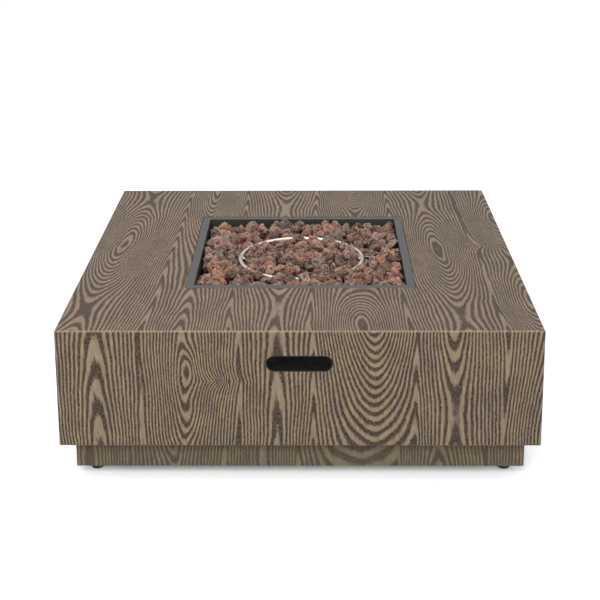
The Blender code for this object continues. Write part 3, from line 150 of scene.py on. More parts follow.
class RockSettings(bpy.types.PropertyGroup):
    """The lava stones in the pan."""

    count: count_property("Stones", "How many stones fill the pan", 800)
    smallest: length_property("Smallest stone", "Diameter of the smallest stone", 0.019)
    largest: length_property("Largest stone", "Diameter of the largest stone", 0.043)
    below_deck: length_property("Below deck", "How far the heap lies under the deck", 0.002)
    ring_dip: length_property("Dip by the ring", "How much lower the stones beside the ring lie", 0.0145)
    inner_drop: length_property("Dip in the ring", "How much lower the stones inside the ring lie", 0.0100)
    seed: count_property("Seed", "Another number gives another heap", 12)
    body_colour: colour_property("Stone", "Commonest colour of the stones", paint(140, 108, 94))
    grey_colour: colour_property("Grey stone", "Colour of the greyer stones", paint(134, 116, 107))
    rust_colour: colour_property("Rusty stone", "Colour of the rusty patches", paint(172, 114, 86))
    # Pore colour: painted shade down in the pores, dents and pits.
    pore_shade_colour: colour_property("Pores", "Colour down in the pores", paint(42, 28, 23))
    # Ash colour: pale ash bloom, also a painted highlight on the raised grit.
    ash_and_highlight_colour: colour_property("Ash", "Pale bloom on the high spots", paint(210, 188, 172))


class BurnerSettings(bpy.types.PropertyGroup):
    """The ring burner and its gas hose."""

    port_pitch: length_property("Port pitch", "Distance between gas ports round the ring", 0.009)
    port_radius: length_property("Port radius", "Radius of each gas port", 0.0015)
    bead_radius: length_property("Weld bead", "Thickness of the weld beads", 0.0012)
    rib_pitch: length_property("Hose rib pitch", "Distance between the hose's ribs", 0.0032)
    rib_depth: length_property("Hose rib depth", "Depth of the hose's ribs", 0.0009)
    steel: colour_property("Stainless steel", "Colour of the ring's bright steel", (0.62, 0.60, 0.575))


class ControlSettings(bpy.types.PropertyGroup):
    """The knob, igniter and panel marks."""

    flutes: count_property("Knob flutes", "Finger flutes round the knob", 24)
    knurls: count_property("Cap knurls", "Knurls round the igniter's cap", 40)
    plastic: colour_property("Black plastic", "Colour of the moulded controls", (0.014, 0.014, 0.015))
    marks: colour_property("Marks", "Colour of the printed marks", (0.78, 0.78, 0.76))


class StageSettings(bpy.types.PropertyGroup):
    """The camera and the studio."""

    camera_x: length_property("Camera X", "Camera's place to the right", 0.0282)
    camera_y: length_property("Camera Y", "Camera's place to the rear", -2.912)
    camera_above_deck: length_property("Camera height", "Camera's height above the deck", 1.017)
    pitch: angle_property("Pitch", "Camera's tilt below level", 13.44)
    yaw: angle_property("Yaw", "Camera's turn to the left", 0.59)
    roll: angle_property("Roll", "Camera's roll", -0.25)
    lens: FloatProperty(name="Lens", description="Focal length", default=76.34, subtype="DISTANCE_CAMERA")
    shift_y: number_property("Lens shift", "Vertical lens shift", -0.3)
    sky: number_property("Room light", "Strength of the white room light", 0.92)
    # The floor's glow fades towards the table, which paints a tight shadow round the plinth.
    floor_glow: number_property("Floor glow", "Light from the backlit paper round the table", 0.26)
    floor: colour_property("Floor", "Colour of the plain floor", (0.92, 0.935, 0.955))


# ---------------- node maths
def add_node(tree, kind, inputs, output=0, **settings):
    """Adds a shader node, sets it and its inputs, and gives one of its outputs as a signal."""
    node = tree.nodes.new("ShaderNode" + kind)
    for name, value in settings.items():
        setattr(node, name, value)
    for slot, value in inputs.items():
        plug(tree, node.inputs[slot], value)
    return Signal(tree, node.outputs[output])


class Signal:
    """A number on its way through a material's nodes, so that its maths reads as maths."""

    def __init__(self, tree, socket):
        self.tree = tree
        self.socket = socket

    def step(self, operation, *others, clamp=False):
        inputs = dict(enumerate((self, *others)))
        return add_node(self.tree, "Math", inputs, operation=operation, use_clamp=clamp)

    def __add__(self, other):
        return self.step("ADD", other)

    def __sub__(self, other):
        return self.step("SUBTRACT", other)

    def __mul__(self, other):
        return self.step("MULTIPLY", other)

    def size(self):
        return self.step("ABSOLUTE")

    def greater(self, other):
        return self.step("MAXIMUM", other)

    def over(self, limit):
        return self.step("GREATER_THAN", limit)

    def turned(self):
        """One minus the number."""
        return (self * -1.0) + 1.0

    def rise(self, start, end, low=0.0, high=1.0):
        """A smooth step from low to high as the number goes from start to end."""
        inputs = dict(enumerate((self, start, end, low, high)))
        return add_node(self.tree, "MapRange", inputs, interpolation_type="SMOOTHSTEP")


def plug(tree, slot, value):
    """Sets an input to a number or colour, or links it to a signal."""
    if isinstance(value, Signal):
        tree.links.new(value.socket, slot)
    elif hasattr(value, "__len__"):
        slot.default_value = (*value[:3], 1.0) if len(slot.default_value) == 4 else tuple(value)
    else:
        slot.default_value = value


MIX_SHARE, MIX_FIRST, MIX_SECOND, MIX_COLOUR = 0, 6, 7, 2


class Finish:
    """A material in the making: its node tree, with short ways to add what a surface needs."""

    def __init__(self, name, roughness=0.5, metallic=0.0, specular=0.5):
        self.material = bpy.data.materials.new(name)
        self.material.use_nodes = True
        self.tree = self.material.node_tree
        self.shader = self.tree.nodes["Principled BSDF"]
        self.shader.inputs["Roughness"].default_value = roughness
        self.shader.inputs["Metallic"].default_value = metallic
        self.shader.inputs["Specular IOR Level"].default_value = specular
        self.point = add_node(self.tree, "TexCoord", {}, "Object")
        self.heights = []

    def parts(self, vector):
        node = self.tree.nodes.new("ShaderNodeSeparateXYZ")
        plug(self.tree, node.inputs[0], vector)
        return [Signal(self.tree, output) for output in node.outputs]

    def joined(self, x, y, z):
        return add_node(self.tree, "CombineXYZ", {0: x, 1: y, 2: z})

    def scaled(self, stretch):
        return add_node(self.tree, "VectorMath", {0: self.point, 1: stretch}, operation="MULTIPLY")

    def noise(self, scale, detail=2.0, roughness=0.5, vector=None):
        inputs = {"Vector": vector or self.point, "Scale": scale, "Detail": detail, "Roughness": roughness}
        return add_node(self.tree, "TexNoise", inputs)

    def cells(self, scale, feature="F1"):
        inputs = {"Vector": self.point, "Scale": scale}
        return add_node(self.tree, "TexVoronoi", inputs, "Distance", feature=feature)

    def attribute(self, name):
        return add_node(self.tree, "Attribute", {}, "Fac", attribute_name=name)

    def normal(self):
        return self.parts(add_node(self.tree, "NewGeometry", {}, "Normal"))

    def mix(self, share, first, second, mode="MIX"):
        inputs = {MIX_SHARE: share, MIX_FIRST: first, MIX_SECOND: second}
        return add_node(self.tree, "Mix", inputs, MIX_COLOUR, data_type="RGBA", blend_type=mode)

    def colour(self, value):
        plug(self.tree, self.shader.inputs["Base Color"], value)

    def roughness(self, value):
        plug(self.tree, self.shader.inputs["Roughness"], value)

    def relief(self, height, depth):
        """Bumps the surface by this many metres where the height signal goes from 0 to 1."""
        self.heights.append((height, depth))

    def done(self):
        """Chains the reliefs into the shader and gives the material."""
        under = {}
        for height, depth in self.heights:
            under = {"Normal": add_node(self.tree, "Bump", {"Distance": depth, "Height": height, **under})}
        for name, value in under.items():
            plug(self.tree, self.shader.inputs[name], value)
        return self.material


# ---------------- mesh building
def loose_mesh(name, corners, faces):
    mesh = bpy.data.meshes.new(name)
    mesh.from_pydata([tuple(c) for c in corners], [], faces)
    mesh.update()
    piece = bpy.data.objects.new(name, mesh)
    bpy.context.scene.collection.objects.link(piece)
    return piece


def add_piece(name, corners, faces, material, body="root", slot=None, replaces=(), smooth=40):
    """A new mesh piece that rides on a body, with its finish and the CAD nodes that it stands for."""
    return finish_piece(loose_mesh(name, corners, faces), material, body, slot, replaces, smooth)


def finish_piece(piece, material, body="root", slot=None, replaces=(), smooth=40):
    """Gives a mesh its material and smoothing, and says what it rides on and stands for."""
    piece.data.materials.clear()
    piece.data.materials.append(material)
    piece.data.shade_smooth()
    piece.data.set_sharp_from_angle(angle=math.radians(smooth))
    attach(piece, body)
    if replaces:
        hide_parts(*replaces)
    return piece


def grid_faces(rows, columns, close_rows=False, close_columns=True, start=0):
    """Four-sided faces between the rows of a grid of corners."""
    faces = []
    for row in range(rows if close_rows else rows - 1):
        above = (row + 1) % rows
        for column in range(columns if close_columns else columns - 1):
            beside = (column + 1) % columns
            faces.append((
                start + row * columns + column, start + row * columns + beside,
                start + above * columns + beside, start + above * columns + column,
            ))
    return faces


def circle(radius, steps):
    """Points of a circle about the origin, as pairs."""
    angles = (math.tau * i / steps for i in range(steps))
    return [(radius * math.cos(angle), radius * math.sin(angle)) for angle in angles]


def frame_round(axis):
    """Two directions square to an axis."""
    axis = Vector(axis).normalized()
    side = axis.orthogonal().normalized()
    return side, axis.cross(side)


def turned(profile, centre, axis=(0, 0, 1), steps=32, ripple=None):
    """Corners and faces of a profile of (radius, height) turned about an axis.

    The ripple, if any, gives for each (profile index, angle) what to multiply the radius by.
    """
    axis = Vector(axis)
    side, other = frame_round(axis)
    corners = []
    for index, (radius, height) in enumerate(profile):
        for step in range(steps):
            angle = math.tau * step / steps
            reach = radius * (ripple(index, angle) if ripple else 1.0)
            corners.append(
                Vector(centre) + axis * height
                + (side * math.cos(angle) + other * math.sin(angle)) * reach
            )
    return corners, grid_faces(len(profile), steps)


def merged(parts):
    """Several (corners, faces) as one."""
    corners, faces = [], []
    for more_corners, more_faces in parts:
        start = len(corners)
        corners.extend(more_corners)
        faces.extend(tuple(start + i for i in face) for face in more_faces)
    return corners, faces


def tidy_mesh(piece):
    """Welds corners that coincide and turns every face outward."""
    bm = bmesh.new()
    bm.from_mesh(piece.data)
    bmesh.ops.remove_doubles(bm, verts=bm.verts, dist=1e-6)
    loose = [f for f in bm.faces if f.calc_area() < 1e-12]
    bmesh.ops.delete(bm, geom=loose, context="FACES_ONLY")
    bmesh.ops.recalc_face_normals(bm, faces=bm.faces)
    bm.to_mesh(piece.data)
    bm.free()
    return piece


def swept(points, radii, steps, closed=False):
    """Corners and faces of a round tube along points, with a radius for each point."""
    points = [Vector(p) for p in points]
    count = len(points)
    tangents = []
    for i in range(count):
        ahead = points[(i + 1) % count] if closed or i < count - 1 else points[i]
        behind = points[i - 1] if closed or i > 0 else points[i]
        tangents.append((ahead - behind).normalized())
    side = tangents[0].orthogonal().normalized()
    corners = []
    for point, tangent, radius in zip(points, tangents, radii):
        side = (side - tangent * side.dot(tangent)).normalized()
        other = tangent.cross(side)
        corners.extend(
            point + (side * math.cos(math.tau * s / steps) + other * math.sin(math.tau * s / steps)) * radius
            for s in range(steps)
        )
    return corners, grid_faces(count, steps, close_rows=closed)


def cut(piece, cutter):
    """Cuts another mesh out of a piece, and removes that one."""
    change = piece.modifiers.new("shape", "BOOLEAN")
    change.operation = "DIFFERENCE"
    change.object = cutter
    change.solver = "EXACT"
    bpy.context.view_layer.update()
    shaped = piece.evaluated_get(bpy.context.evaluated_depsgraph_get())
    mesh = bpy.data.meshes.new_from_object(shaped)
    piece.modifiers.clear()
    piece.data = mesh
    bpy.data.objects.remove(cutter)


def capped(profile):
    """A profile closed onto the axis at both ends."""
    return [(0.0, profile[0][1]), *profile, (0.0, profile[-1][1])]


def dress(material, *nodes):
    """Gives CAD nodes a material."""
    for node in nodes:
        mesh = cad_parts[node].data
        mesh.materials.clear()
        mesh.materials.append(material)


# ---------------- cast wood grain
class Fold(NamedTuple):
    """A line along which the grain folds back on itself.

    Its rings close into an eye at one place and cross at another, half a spacing further on.
    A turn of one folds the lines one way and minus one the other way; none leaves only rings.
    """

    across: float
    lean: float = 0.0
    blunt: float = 0.004
    eye: float = 0.0
    spacing: float = 1.0
    rings: float = 0.0
    reach: float = 0.045
    turn: float = 1.0


def seam(across, lean=0.0, blunt=0.006):
    """Where two families of grain lines meet side by side."""
    return Fold(across, lean, blunt, turn=-1.0)


DECK_FOLDS = (
    Fold(-0.432, 0.060, 0.026, 0.03, 0.80, 4.7, 0.060),
    seam(-0.310, 0.02),
    Fold(-0.235, 0.010, 0.020, 0.47, 1.14, 4.4, 0.050),
    seam(-0.148),
    Fold(-0.046, 0.008, 0.024, 0.03, 0.70, 2.5, 0.050),
    seam(0.030, 0.02),
    Fold(0.140, 0.010, 0.030, 0.54, 1.20, 7.0, 0.060),
    Fold(0.128, 0.000, 0.020, -0.43, 0.31, 1.7, 0.036, turn=0.0),
    seam(0.226),
    Fold(0.330, -0.030, 0.022, -0.016, 0.79, 4.3, 0.055),
    seam(0.416, -0.02),
    Fold(0.498, 0.000, 0.020, -0.34, 0.56, 3.2, 0.055),
)
WALL_FOLDS = (
    Fold(-0.412, -0.010, 0.032, -0.06, 1.10, 3.2, 0.060),
    seam(-0.325),
    Fold(-0.236, 0.010, 0.016, 0.226, 0.56, 2.9, 0.045),
    Fold(-0.226, 0.000, 0.004, 0.228, 0.17, 0.55, 0.020, turn=0.0),
    Fold(-0.226, 0.000, 0.004, 0.138, 0.12, 0.60, 0.013, turn=0.0),
    seam(-0.128),
    Fold(-0.048, 0.010, 0.030, -0.06, 1.10, 3.0, 0.050),
    seam(0.030),
    Fold(0.140, -0.030, 0.028, 0.68, 1.60, 12.0, 0.070),
    seam(0.240),
    Fold(0.314, -0.020, 0.022, 0.430, 0.57, 2.1, 0.040),
    seam(0.420, 0.010),
    Fold(0.520, 0.000, 0.030, 0.110, 0.60, 2.0, 0.060),
)


class Knot(NamedTuple):
    """A place where a dead branch has drawn the grain aside to a point, with a small core."""

    across: float
    along: float
    wide: float
    tall: float
    draw: float
    core: float


DECK_KNOTS = (Knot(0.440, 0.020, 0.045, 0.035, 0.022, 1.5),)
WALL_KNOTS = (Knot(-0.162, 0.226, 0.040, 0.024, 0.021, 1.7),)
CORE_RADIUS = 0.0075
# How far the front's pattern shifts on the other walls and plinth, and the plinth's painted shade under the overhang
REAR_SHIFT, SIDE_SHIFT, PLINTH_SHIFT = 0.083, 0.041, 0.031
PLINTH_PAINTED_SHADE = 0.76


def ring_count(across, along, folds, knots, pitch):
    """The number of growth rings passed at a point, which the colour and relief repeat by."""
    total = across * 0.0
    for knot in knots:
        aside, ahead = across - knot.across, along - knot.along
        near = (aside * aside * (-1.0 / knot.wide**2) - ahead.size() * (1.0 / knot.tall)).step("EXPONENT")
        off_core = aside - (knot.draw - CORE_RADIUS)
        core = ((off_core * off_core + ahead * ahead) * (-1.0 / CORE_RADIUS**2)).step("EXPONENT")
        total = total + core * knot.core
        across = across - near * knot.draw
    for fold in folds:
        aside = across - (along - (fold.eye if fold.rings else 0.0)) * fold.lean - fold.across
        squared = aside * aside
        if fold.turn:
            total = total + (squared + fold.blunt**2).step("SQRT") * (fold.turn / pitch)
        if fold.rings:
            wave = ((along - fold.eye) * (math.tau / fold.spacing)).step("COSINE")
            near = (squared * (-1.0 / fold.reach**2)).step("EXPONENT")
            total = total - wave * near * fold.rings
    return total


def grain_coordinates(finish, shift):
    """Where a point lies across and along the grain of its face, and how much of the deck it is."""
    x, y, z = finish.parts(finish.point)
    wobble = finish.noise(7.0, 1.0, 0.5) - 0.5
    ripple = finish.noise(42.0, 1.0, 0.5) - 0.5
    jitter = finish.noise(380.0, 1.0, 0.5) - 0.5
    drift = wobble * 0.016 + ripple * 0.0030 + jitter * 0.0018
    facing_x, facing_y, facing_z = finish.normal()
    deck = facing_z.over(0.7)
    side = facing_x.size().over(0.7)
    rear = facing_y.over(0.7)
    front_or_rear = x * (rear * -2.0 + 1.0) + rear * REAR_SHIFT
    left_or_right = y * facing_x.rise(-0.01, 0.01, 1.0, -1.0) + SIDE_SHIFT
    wall_across = front_or_rear * side.turned() + left_or_right * side
    return x + drift, y, wall_across + drift + shift, z, deck


def cast_grain(name, settings, colours, half, top, shift=0.0, contrast=1.0):
    """Cast stone moulded from brushed wood: sunk dark late wood, worn edges with a painted highlight on the top rim,
    painted sheen and shade, a raw inside.
    """
    early, late, wash = colours
    finish = Finish(name, specular=0.26)
    deck_u, deck_v, wall_u, wall_v, deck = grain_coordinates(finish, shift)
    deck_rings = ring_count(deck_u, deck_v, DECK_FOLDS, DECK_KNOTS, settings.deck_pitch)
    wall_rings = ring_count(wall_u, wall_v, WALL_FOLDS, WALL_KNOTS, settings.wall_pitch)
    rings = deck_rings * deck + wall_rings * deck.turned()
    across = deck_u * deck + wall_u * deck.turned()
    along = deck_v * deck + wall_v * deck.turned()
    grain_space = finish.joined(across * 1.0, along * 0.16, deck)
    fibre = finish.noise(950.0, 2.0, 0.6, grain_space)
    streak = finish.noise(210.0, 2.0, 0.5, grain_space)
    broad = finish.noise(26.0, 3.0, 0.55, finish.joined(across, along * 0.35, deck))
    age = (rings + (fibre - 0.5) * 0.50 + (streak - 0.5) * 0.30).step("FRACT")
    width = broad * 0.30 + 0.28
    late_wood = age.rise(0.0, 0.10) * age.rise(width, width + 0.22, 1.0, 0.0)
    pores = fibre.rise(0.40, 0.60)
    sunk = (late_wood * (pores * 0.52 + 0.60)).step("MINIMUM", 1.0, clamp=True)
    body = finish.mix(broad.rise(0.35, 0.75, 0.0, 0.75), early, wash)
    body = finish.mix(streak.rise(0.30, 0.70, 0.30, 0.0), body, late)
    colour = finish.mix(sunk * contrast, body, late)
    x, y, z = finish.parts(finish.point)
    # Faces that look up take a greyer pink tint: painted sheen of the light on the deck.
    colour = finish.mix(deck * 0.14, colour, paint(116, 92, 84))
    # Mixed towards the late wood: a plain darker tone, a little more on the walls than on the deck; painted sheen
    # that fades across the deck, so it darkens towards the right; and painted shadow on the plinth's top and the
    # body's lowest edge under the overhang.
    below_lip = z.rise(BODY_BOTTOM - 0.035, BODY_BOTTOM, 0.0, 0.45)
    under_lip = below_lip * z.rise(BODY_BOTTOM, BODY_BOTTOM + 0.004, 1.0, 0.0)
    tone_and_painted_shade = (x.rise(-0.25, 0.45, 0.0, 0.08) + 0.08) * deck + deck.turned() * 0.12 + under_lip
    colour = finish.mix(tone_and_painted_shade, colour, late)
    out = x.size().greater(y.size())
    # The light line on the top rim is worn paint and a painted edge highlight; the lower rim gets a lighter band.
    scuff = finish.noise(70.0, 3.0, 0.6).rise(0.25, 0.55, 0.45, 1.0)
    rim = out.rise(half - 0.0040, half - 0.0018) * z.rise(DECK_TOP - 0.0036, DECK_TOP - 0.0018)
    foot_rim = z.rise(BODY_BOTTOM, BODY_BOTTOM + 0.0030, 0.5, 0.0) * z.over(BODY_BOTTOM - 0.001)
    worn_and_highlit = (rim * 0.45).greater(foot_rim * 0.7) * scuff
    colour = finish.mix(worn_and_highlit, colour, settings.worn_highlit_edge)
    inside = out.step("LESS_THAN", half - SHELL_WALL + 0.0006) * z.step("LESS_THAN", top - SHELL_WALL + 0.0006)
    sand = finish.noise(420.0, 3.0, 0.6)
    raw = finish.mix(sand, settings.raw_cast, paint(105, 99, 90))
    finish.colour(finish.mix(inside, colour, raw))
    finish.roughness(sunk * 0.14 + broad * 0.10 + 0.50)
    finish.relief((sunk * inside.turned()).turned(), settings.relief)
    finish.relief(fibre * 0.6 + sand * 0.4, 0.00022)
    return finish.done()


class FIRETABLE_OT_casting(bpy.types.Operator):
    """Dresses the cast body and plinth in moulded wood grain, and the base board in fibre cement."""

    bl_idname = "fire_table.casting"
    bl_label = "Casting and plinth"

    def execute(self, context):
        s = context.scene.fire_table_casting
        colours = (s.early_wood, s.late_wood, s.wash)
        body = cast_grain("wood_grain_casting", s, colours, BODY_HALF, DECK_TOP)
        # The plinth takes the casting's colours darkened: painted shade under the body's overhang.
        shade = [tuple(PLINTH_PAINTED_SHADE * c for c in colour) for colour in colours]
        plinth = cast_grain("wood_grain_plinth", s, shade, PLINTH_HALF, BODY_BOTTOM, PLINTH_SHIFT, contrast=0.66)
        dress(body, "body_shell")
        dress(plinth, "plinth")
        board = Finish("fibre_cement_board", roughness=0.86, specular=0.25)
        flecks = board.noise(160.0, 4.0, 0.65, board.scaled((1.0, 0.3, 1.0)))
        clouds = board.noise(14.0, 3.0, 0.5)
        tone = board.mix(clouds, paint(126, 122, 115), paint(148, 143, 134))
        board.colour(board.mix(flecks.rise(0.48, 0.66), tone, paint(92, 88, 82)))
        board.relief(flecks, 0.0004)
        dress(board.done(), "base_frame")
        return {"FINISHED"}


# ---------------- plastics and metals
def moulded_plastic(name, colour, roughness=0.42, grain=1900.0, dust=0.12):
    """Plastic with a fine spark-eroded grain and a little dust in its corners."""
    finish = Finish(name, specular=0.5)
    bloom = finish.noise(38.0, 4.0, 0.6)
    dusty = tuple(min(1.0, c + 0.10) for c in colour)
    finish.colour(finish.mix(bloom.rise(0.5, 0.8, 0.0, dust), colour, dusty))
    finish.roughness(bloom * 0.14 + (roughness - 0.07))
    finish.relief(finish.noise(grain, 2.0, 0.5), 0.00005)
    return finish.done()


def worked_metal(name, colour, roughness=0.28, stain=None, along=(1.0, 1.0, 0.06), stain_share=0.35):
    """Metal with drawing lines, small dents and, if asked, a stain in patches."""
    finish = Finish(name, metallic=1.0)
    lines = finish.noise(1500.0, 3.0, 0.6, finish.scaled(along))
    patches = finish.noise(55.0, 4.0, 0.6)
    shaded = tuple(0.72 * c for c in colour)
    tone = finish.mix(lines.rise(0.35, 0.7), colour, shaded)
    if stain:
        tone = finish.mix(patches.rise(0.48, 0.72, 0.0, stain_share), tone, stain)
    finish.colour(tone)
    finish.roughness(lines * 0.12 + patches * 0.16 + (roughness - 0.12))
    finish.relief(lines, 0.00004)
    finish.relief(patches, 0.00025)
    return finish.done()


def powder_coat(name, colour, roughness=0.50, dust=None, dust_top=0.0):
    """Baked paint with an orange-peel skin. Dust, if any, lies on faces that look up."""
    finish = Finish(name, specular=0.5)
    peel = finish.noise(850.0, 2.0, 0.5)
    clouds = finish.noise(17.0, 4.0, 0.6)
    lighter = tuple(min(1.0, 1.35 * c + 0.004) for c in colour)
    tone = finish.mix(clouds.rise(0.3, 0.75), colour, lighter)
    if dust:
        up = finish.normal()[2].rise(0.2, 0.9)
        low = finish.parts(finish.point)[2].rise(dust_top - 0.05, dust_top, 1.0, 0.12)
        lies = finish.noise(90.0, 4.0, 0.65).rise(0.38, 0.68, 0.1, 0.75)
        tone = finish.mix(up.greater(0.04) * low * lies, tone, dust)
    finish.colour(tone)
    finish.roughness(clouds * 0.16 + peel * 0.10 + (roughness - 0.13))
    finish.relief(peel, 0.00009)
    return finish.done()


class FIRETABLE_OT_liners(bpy.types.Operator):
    """Dresses the two handle slots' liners in moulded black plastic, made near pure black as painted shade deep in
    the slots.
    """

    bl_idname = "fire_table.liners"
    bl_label = "Handle slot liners"

    def execute(self, context):
        # Near pure black: black plastic, darkened further as painted shade down in the slot.
        black = moulded_plastic("liner_black_and_painted_shade", (0.002, 0.002, 0.002), 0.75, dust=0.0)
        dress(black, "handle_liner_front", "handle_liner_rear")
        return {"FINISHED"}


class FIRETABLE_OT_pan(bpy.types.Operator):
    """Paints the drop-in pan charcoal and lets stone dust settle in it."""

    bl_idname = "fire_table.pan"
    bl_label = "Burner pan"

    def execute(self, context):
        coat = powder_coat("charcoal_pan_paint", paint(39, 41, 41), 0.46, paint(80, 66, 58), PAN_FLOOR + 0.06)
        dress(coat, "burner_pan")
        steel = worked_metal("clip_steel", (0.52, 0.53, 0.54), 0.42, paint(122, 112, 100))
        dress(steel, *(f"pan_clip_{side}" for side in SIDES), *(f"corner_bracket_{corner}" for corner in CORNERS))
        return {"FINISHED"}


# ---------------- lava stones
# Stones listed one by one beside or over the ring: angle in degrees, distance out, radius, top over the deck
GUARDS = (
    (59, 0.134, 0.0150, -0.0040), (77, 0.131, 0.0125, -0.0070), (93, 0.131, 0.0150, -0.0040),
    (232, 0.166, 0.0165, -0.0030), (252, 0.163, 0.0155, -0.0035), (260, 0.167, 0.0150, -0.0050),
    (274, 0.164, 0.0165, -0.0020), (279, 0.159, 0.0125, -0.0060), (284, 0.162, 0.0150, -0.0040),
    (289, 0.159, 0.0130, -0.0060), (294, 0.166, 0.0180, -0.0010),
    (305, 0.162, 0.0160, -0.0030), (316, 0.164, 0.0175, -0.0015), (327, 0.163, 0.0160, -0.0030),
    (242, 0.176, 0.0130, -0.0080), (353, 0.172, 0.0120, -0.0080), (8, 0.178, 0.0120, -0.0080),
    (90, 0.020, 0.0150, -0.0030), (270, 0.020, 0.0150, -0.0040),
    (0, 0.171, 0.0105, -0.0030), (185, 0.127, 0.0110, -0.0100), (355, 0.127, 0.0115, -0.0100),
)
COVER_PITCH = 0.0150
SETTLING_STEPS = 150
SINK_PER_STEP = 0.0002
PUSH_SHARE = 0.42
# How near stones may come, as shares of their radii: to each other, to the pan's wall, to the burner
STONE_TOUCH, WALL_TOUCH, BURNER_TOUCH = 0.99, 0.98, 0.90
HEAP_UNEVENNESS = 0.0045
EDGE_GAP = 0.0040
DIP_WIDTH = 0.024
DROP_WIDTH = 0.008
SEEN_DEPTH = 0.034
# The size of the table of random values, and how many of each feature a metre of stone holds
TABLE_SIZE = 48
RIDGES, CRUMBS, BUBBLES, PORES = 105.0, 260.0, 150.0, 330.0
BLOCK_FLATS = 10
BLOCK_SHARPNESS = 26.0


def fixed_stones(rng):
    """Stones listed one by one, then a row that hides the cross tube, as rows of place and radius."""
    stones = []
    for angle, out, radius, top in GUARDS:
        turn = math.radians(angle)
        stones.append((out * math.cos(turn), out * math.sin(turn), DECK_TOP + top - radius, radius))
    reach = RING_RADIUS - 1.1 * COVER_PITCH
    for x in np.arange(-reach, reach + 0.001, COVER_PITCH):
        radius = rng.uniform(0.0115, 0.0145)
        stones.append((x, rng.uniform(-0.006, 0.000), RING_LEVEL + rng.uniform(0.002, 0.006), radius))
    return np.array(stones)


def push_off_burner(places, radii):
    """Moves stones out of the ring, cross tube, hub and pilot parts."""
    flat, level = places[:, :2], np.full(len(places), RING_LEVEL)
    out = np.maximum(np.linalg.norm(flat, axis=1), 1e-6)
    x, y, z = places.T
    none = np.zeros(len(places))
    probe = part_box("thermocouple_probe")[1].z
    on_ring = np.column_stack([flat / out[:, None] * RING_RADIUS, level])
    on_cross = np.column_stack([np.clip(x, -RING_RADIUS, RING_RADIUS), none, level])
    on_hub = np.column_stack([none, none, np.clip(z, RING_HIGH.z - HUB_HEIGHT, RING_HIGH.z - 0.006)])
    on_nipple = np.column_stack([none, none, z])
    on_pilot = np.column_stack([
        np.full(len(places), middle("thermocouple_probe").x), np.clip(y, -PILOT_REACH, PILOT_REACH),
        np.minimum(z, probe),
    ])
    for nearest, thickness in (
        (on_ring, RING_TUBE_RADIUS), (on_cross, CROSS_TUBE_RADIUS), (on_hub, HUB_RADIUS),
        (on_nipple, NIPPLE_CLEARANCE), (on_pilot, PILOT_CLEARANCE),
    ):
        away = places - nearest
        distance = np.maximum(np.linalg.norm(away, axis=1), 1e-6)
        short = np.maximum(0.0, thickness + BURNER_TOUCH * radii - distance)
        places += away / distance[:, None] * short[:, None]


def settle_stones(settings):
    """Places and radii of stones packed in the pan round the burner."""
    rng = np.random.default_rng(settings.seed)
    low, high = settings.smallest / 2, settings.largest / 2
    fixed = fixed_stones(rng)
    held = len(fixed)
    radii = np.concatenate([fixed[:, 3], low + (high - low) * rng.beta(1.5, 2.0, settings.count)])
    loose = rng.uniform(-1.0, 1.0, (settings.count, 3)) * (PAN_INNER_HALF - high, PAN_INNER_HALF - high, 0.5)
    bottom, top = PAN_FLOOR, DECK_TOP - settings.below_deck
    loose[:, 2] = (bottom + top) / 2 + loose[:, 2] * (top - bottom - 2 * low)
    places = np.vstack([fixed[:, :3], loose])
    lift = rng.normal(0.0, HEAP_UNEVENNESS, len(places)).clip(-0.010, 0.004)
    edge_gap = rng.uniform(0.0, EDGE_GAP, len(places))
    for step in range(SETTLING_STEPS):
        gaps = places[:, None, :] - places[None, :, :]
        distance = np.sqrt((gaps**2).sum(2)) + np.eye(len(places))
        short = np.maximum(0.0, STONE_TOUCH * (radii[:, None] + radii[None, :]) - distance)
        np.fill_diagonal(short, 0.0)
        places += (gaps / distance[:, :, None] * (short * PUSH_SHARE)[:, :, None]).sum(1)
        places[:, 2] -= SINK_PER_STEP * (1.0 - step / SETTLING_STEPS)
        push_off_burner(places, radii)
        side = PAN_INNER_HALF - radii * WALL_TOUCH - edge_gap
        places[:, :2] = np.clip(places[:, :2], -side[:, None], side[:, None])
        outward = np.linalg.norm(places[:, :2], axis=1) - RING_RADIUS
        dip = settings.ring_dip * np.exp(-((outward / DIP_WIDTH) ** 2))
        inside = settings.inner_drop / (1.0 + np.exp(outward / DROP_WIDTH))
        ceiling = top + lift - np.maximum(dip, inside)
        places[:, 2] = np.clip(places[:, 2], bottom + radii, ceiling - radii)
        places[:held] = fixed[:, :3]
    return places, radii


def unit_ball(detail):
    """Corners and faces of a ball of radius one, as arrays."""
    bm = bmesh.new()
    bmesh.ops.create_icosphere(bm, subdivisions=detail, radius=1.0)
    corners = np.array([v.co for v in bm.verts])
    faces = np.array([[v.index for v in f.verts] for f in bm.faces])
    bm.free()
    return corners, faces


def grid_noise(points, table):
    """Smooth values from 0 to 1 that change about once a metre."""
    cell = np.floor(points).astype(int)
    part = points - cell
    part = part * part * (3.0 - 2.0 * part)
    total = np.zeros(len(points))
    for corner in product((0, 1), repeat=3):
        a, b, c = ((cell + corner) % len(table)).T
        total += np.where(corner, part, 1.0 - part).prod(axis=1) * table[a, b, c, 0]
    return total


def cell_distance(points, table):
    """How far each point is from the nearest of the seeds strewn one to a cubic metre."""
    cell = np.floor(points).astype(int)
    nearest = np.full(len(points), 9.0)
    for corner in product((-1, 0, 1), repeat=3):
        near = cell + corner
        a, b, c = (near % len(table)).T
        nearest = np.minimum(nearest, ((near + table[a, b, c] - points) ** 2).sum(axis=1))
    return np.sqrt(nearest)


